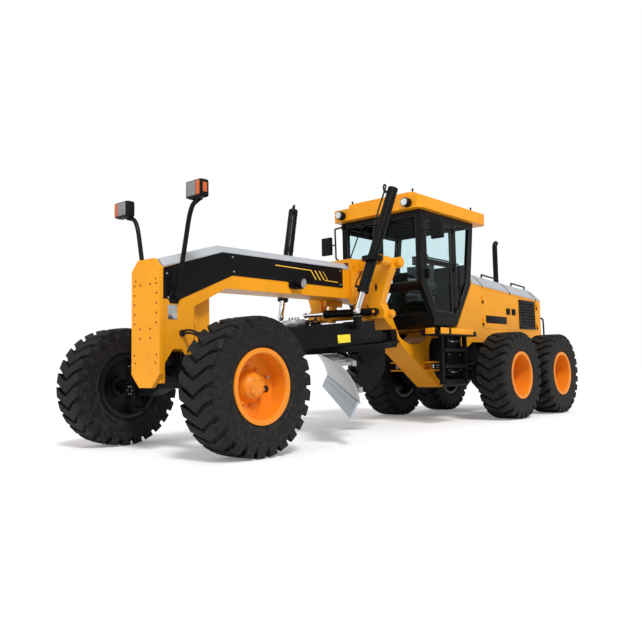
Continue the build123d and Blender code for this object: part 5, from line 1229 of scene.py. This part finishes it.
# seams across the top, lifting rings and the exhaust's rain band
LIP, RIDGE, CREASE = 0.604, 0.173, 0.442
shape = bmesh.new()
rings = []
for foot, crown in ((-5.245, -5.362), (-7.784, -7.784)):
    rings.append([shape.verts.new(from_axle(x, y, side_top(foot) + up)) for x, y, up in (
        (foot, LIP, -0.014), (foot, LIP, 0.002), (crown, CREASE, RIDGE), (crown, -CREASE, RIDGE),
        (foot, -LIP, 0.002), (foot, -LIP, -0.014))])
for number in range(5):
    shape.faces.new((rings[0][number], rings[0][number + 1], rings[1][number + 1], rings[1][number]))
bmesh.ops.recalc_face_normals(shape, faces=shape.faces)
finish_piece("hood_top", shape, grey, "rear_frame", 20)
shape = bmesh.new()
for x in (-5.57, -6.55, -7.60):
    top = side_top(x)
    line = [(-LIP, top - 0.04), (-LIP, top), (-CREASE, top + RIDGE), (CREASE, top + RIDGE), (LIP, top),
        (LIP, top - 0.04)]
    for start, end in zip(line, line[1:]):
        stub(shape, from_axle(x, *start), from_axle(x, *end), 0.008, 8)
finish_piece("hood_top_seams", shape, seal_rubber, "rear_frame")
shape = bmesh.new()
for x in (-5.42, -5.80, -6.86, -7.40):
    for y in (-0.36, 0.36):
        bolt(shape, from_axle(x, y, side_top(x) + RIDGE), (0, 0, 1), 0.010)
finish_piece("hood_top_bolts", shape, bare, "rear_frame")
shape = bmesh.new()
for z in (2.26, 2.62):
    stub(shape, from_axle(-7.07, 0.10, z), from_axle(-7.07, 0.10, z + 0.025), 0.049, 28, bevel=0.003)
finish_piece("stack_clamps", shape, black, "rear_frame")
# long grab rails at the rear corners
for side, sign in SIDES:
    pipe("corner_rail_" + side, [from_axle(x, sign * y, z) for x, y, z in (
        (-7.76, 0.592, 1.66), (-7.84, 0.600, 1.665), (-7.885, 0.604, 1.63), (-7.890, 0.604, 1.40),
        (-7.890, 0.604, 1.22), (-7.885, 0.600, 1.16), (-7.84, 0.585, 1.13),
        (-7.80, 0.56, 1.13))], 0.015, black, "rear_frame")
# radiator screen, tail lamps and reflectors at the back
shape = bmesh.new()
for number in range(16):
    z = 1.485 + number * 0.027
    brick(shape, from_axle(-7.785, -0.425, z), from_axle(-7.765, 0.425, z + 0.006), 0.001, 1)
for y in (-0.30, -0.15, 0.0, 0.15, 0.30):
    brick(shape, from_axle(-7.789, y - 0.006, 1.47), from_axle(-7.781, y + 0.006, 1.92), 0.001, 1)
finish_piece("rear_screen", shape, black, "rear_frame")
lens_red = lamp_glass("lens_red", (0.75, 0.02, 0.015))
for side, sign in SIDES:
    shape = bmesh.new()
    stub(shape, from_axle(-7.882, sign * 0.44, 1.14), from_axle(-7.905, sign * 0.44, 1.14), 0.062, 32,
        bevel=0.005)
    stub(shape, from_axle(-7.882, sign * 0.28, 1.14), from_axle(-7.905, sign * 0.28, 1.14), 0.050, 32,
        bevel=0.005)
    finish_piece("tail_lamps_" + side, shape, plastic, "rear_frame")
    shape = bmesh.new()
    stub(shape, from_axle(-7.905, sign * 0.44, 1.14), from_axle(-7.912, sign * 0.44, 1.14), 0.054, 32,
        bevel=0.002)
    finish_piece("tail_lenses_" + side, shape, lens_red, "rear_frame")
    shape = bmesh.new()
    stub(shape, from_axle(-7.905, sign * 0.28, 1.14), from_axle(-7.912, sign * 0.28, 1.14), 0.043, 32,
        bevel=0.002)
    finish_piece("turn_lenses_" + side, shape, lens_amber, "rear_frame")
    shape = bmesh.new()
    for y in (0.08, 0.52):
        for z in (0.93, 1.20):
            bolt(shape, from_axle(-7.88, sign * y, z), (-1, 0, 0), 0.012)
    finish_piece("bumper_bolts_" + side, shape, bare, "rear_frame")
